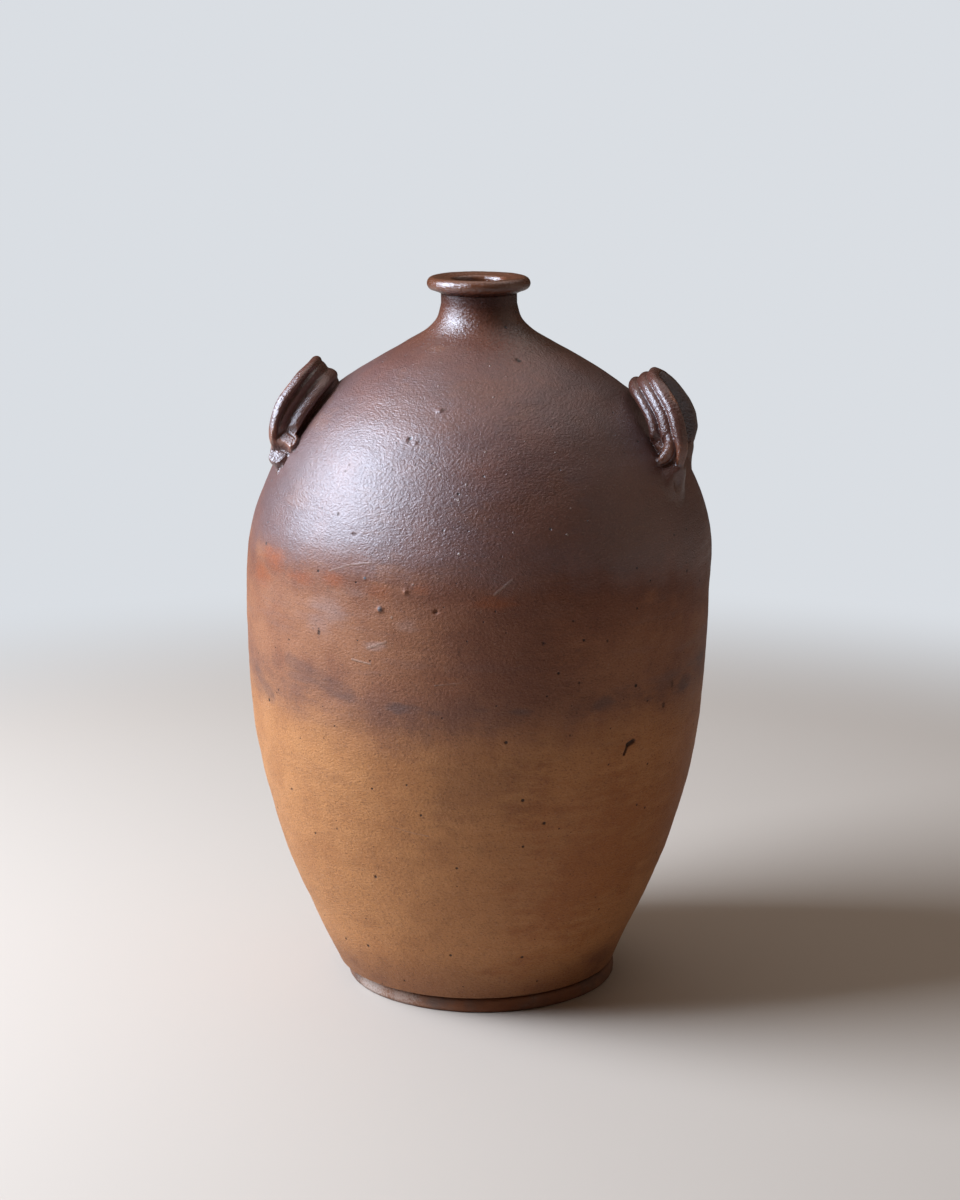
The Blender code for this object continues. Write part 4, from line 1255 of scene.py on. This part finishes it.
def clay_material():
    """Bare fired clay, grey brown, with painted shade darker at its front and towards the floor."""
    nodes = Nodes("bare_clay")
    cloud = nodes.noise(0.03, 4, 0.6)
    grain = nodes.noise(0.0016, 3, 0.7, seed=2.0)
    streak = nodes.noise(0.012, 3, 0.6, place=nodes.stretch((1, 1, 5)), seed=5.0)
    colour = nodes.tint(CLAY, CLAY_DEEP, cloud, 0.35, 0.7)
    colour = nodes.tint(colour, CLAY_PALE, streak, 0.5, 0.75, 0.0, 0.5)
    # Painted shade on the front of the foot band
    colour = nodes.mix(patches(nodes, FOOT_FRONT_SHADE_PATCHES, cloud), colour, FOOT_FRONT_SHADE)
    colour = nodes.mix(patches(nodes, WORN_PATCHES, grain), colour, WORN_CLAY)
    colour = nodes.tint(colour, CLAY_SPECK, grain, 0.55, 0.72, 0.0, 0.5)
    # Painted shade: the band turns darker where it meets the floor
    colour = nodes.tint(colour, CLAY_FLOOR_SHADE, nodes.axes(nodes.place)["Z"], 0.0035, 0.0, 0.0, 0.65)
    normal = nodes.bump(streak, 0.5, 0.0008, nodes.bump(grain, 0.7, 0.0004))
    return nodes.shade({"Base Color": colour, "Roughness": nodes.steps(cloud, 0.2, 0.8, 0.62, 0.8),
                        "Specular IOR Level": 0.2, "Normal": normal})


# Stage, lights and camera

FLOOR_COLOUR = (0.545, 0.49, 0.435)
BACKGROUND = (0.7, 0.73, 0.77)
ROOM_GLOW = (1.0, 0.7, 0.48)
ROOM_STRENGTH = 0.055
FLOOR_SIZE = 16
FLOOR_FADE = (0.85, 1.5)         # distances from the jar between which the floor turns into the background

# Lamps: azimuth, elevation, distance, width, height, power and colour
LAMPS = {
    "window": (-170, 33, 2.25, 1.45, 1.7, 143, (0.8, 0.88, 1.0)),
    "ceiling": (75, 72, 2.6, 2.8, 2.8, 19, (1.0, 0.9, 0.82)),
    "wall bounce": (0, 15, 2.4, 2.6, 1.8, 4.8, (1.0, 0.76, 0.6)),
}
LAMP_AIM = Vector((0, 0, 0.35))


def show_to_camera(tree, share, plain, shown, output):
    """Mix a plain shader with one that only the camera sees."""
    blend = tree.nodes.new("ShaderNodeMixShader")
    for source, socket in zip((share, plain, shown), blend.inputs):
        tree.links.new(source, socket)
    tree.links.new(blend.outputs[0], output.inputs["Surface"])


def make_floor():
    bpy.ops.mesh.primitive_plane_add(size=FLOOR_SIZE, location=(0, 0, 0))
    floor = bpy.context.object
    floor.name = "floor"
    nodes = Nodes("plain_floor")
    floor.data.materials.append(nodes.shade({"Base Color": FLOOR_COLOUR, "Roughness": 0.6,
                                             "Specular IOR Level": 0.3}))
    away = nodes.vector("LENGTH", nodes.vector("MULTIPLY", nodes.place, (1, 1, 0)))
    seen = nodes.add("ShaderNodeLightPath").outputs["Is Camera Ray"]
    glow = nodes.add("ShaderNodeEmission", {"Color": BACKGROUND})
    show_to_camera(nodes.tree, nodes.math("MULTIPLY", nodes.steps(away, *FLOOR_FADE), seen),
                   nodes.tree.nodes["Principled BSDF"].outputs[0], glow.outputs[0],
                   nodes.tree.nodes["Material Output"])


def make_room():
    """Faint warm light from all round, behind a plain pale background."""
    world = bpy.data.worlds.new("studio")
    bpy.context.scene.world = world
    world.use_nodes = True
    tree = world.node_tree
    room, backdrop = tree.nodes["Background"], tree.nodes.new("ShaderNodeBackground")
    for node, colour, strength in ((room, ROOM_GLOW, ROOM_STRENGTH), (backdrop, BACKGROUND, 1.0)):
        node.inputs["Color"].default_value = (*colour, 1)
        node.inputs["Strength"].default_value = strength
    seen = tree.nodes.new("ShaderNodeLightPath").outputs["Is Camera Ray"]
    show_to_camera(tree, seen, room.outputs[0], backdrop.outputs[0], tree.nodes["World Output"])


def make_lamps():
    for name, (azimuth, elevation, distance, width, tall, power, colour) in LAMPS.items():
        data = bpy.data.lights.new(name, "AREA")
        data.shape = "RECTANGLE"
        data.size, data.size_y = width, tall
        data.energy = power
        data.color = colour
        lamp = bpy.data.objects.new(name, data)
        level = Vector(around(radians(azimuth))) * cos(radians(elevation))
        direction = level + Vector((0, 0, sin(radians(elevation))))
        lamp.location = LAMP_AIM + direction * distance
        lamp.rotation_euler = direction.to_track_quat("Z", "Y").to_euler()
        bpy.context.scene.collection.objects.link(lamp)


def make_camera():
    data = bpy.data.cameras.new("camera")
    data.lens = CAMERA_LENS
    data.sensor_width = CAMERA_SENSOR
    data.sensor_fit = "AUTO"
    camera = bpy.data.objects.new("camera", data)
    camera.location = (CAMERA_DISTANCE * sin(CAMERA_TURN), -CAMERA_DISTANCE * cos(CAMERA_TURN), CAMERA_HEIGHT)
    camera.rotation_euler = Euler((pi / 2 - CAMERA_PITCH, 0, CAMERA_TURN))
    bpy.context.scene.collection.objects.link(camera)
    bpy.context.scene.camera = camera


def main():
    bpy.context.scene.view_settings.view_transform = "Standard"
    glaze = glaze_material("stoneware_glaze")
    handle_glaze = glaze_material("handle_glaze", gloss=0.13, wear_and_shade=True)
    clay = clay_material()
    for piece in make_walls():
        piece.data.materials.append(glaze)
    make_rim().data.materials.append(handle_glaze)
    make_foot().data.materials.append(clay)
    for side in SIDES:
        make_handle(side).data.materials.append(handle_glaze)
    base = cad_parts["base_slab"]
    base.data.materials.clear()
    base.data.materials.append(clay)
    make_floor()
    make_room()
    make_lamps()
    make_camera()


main()
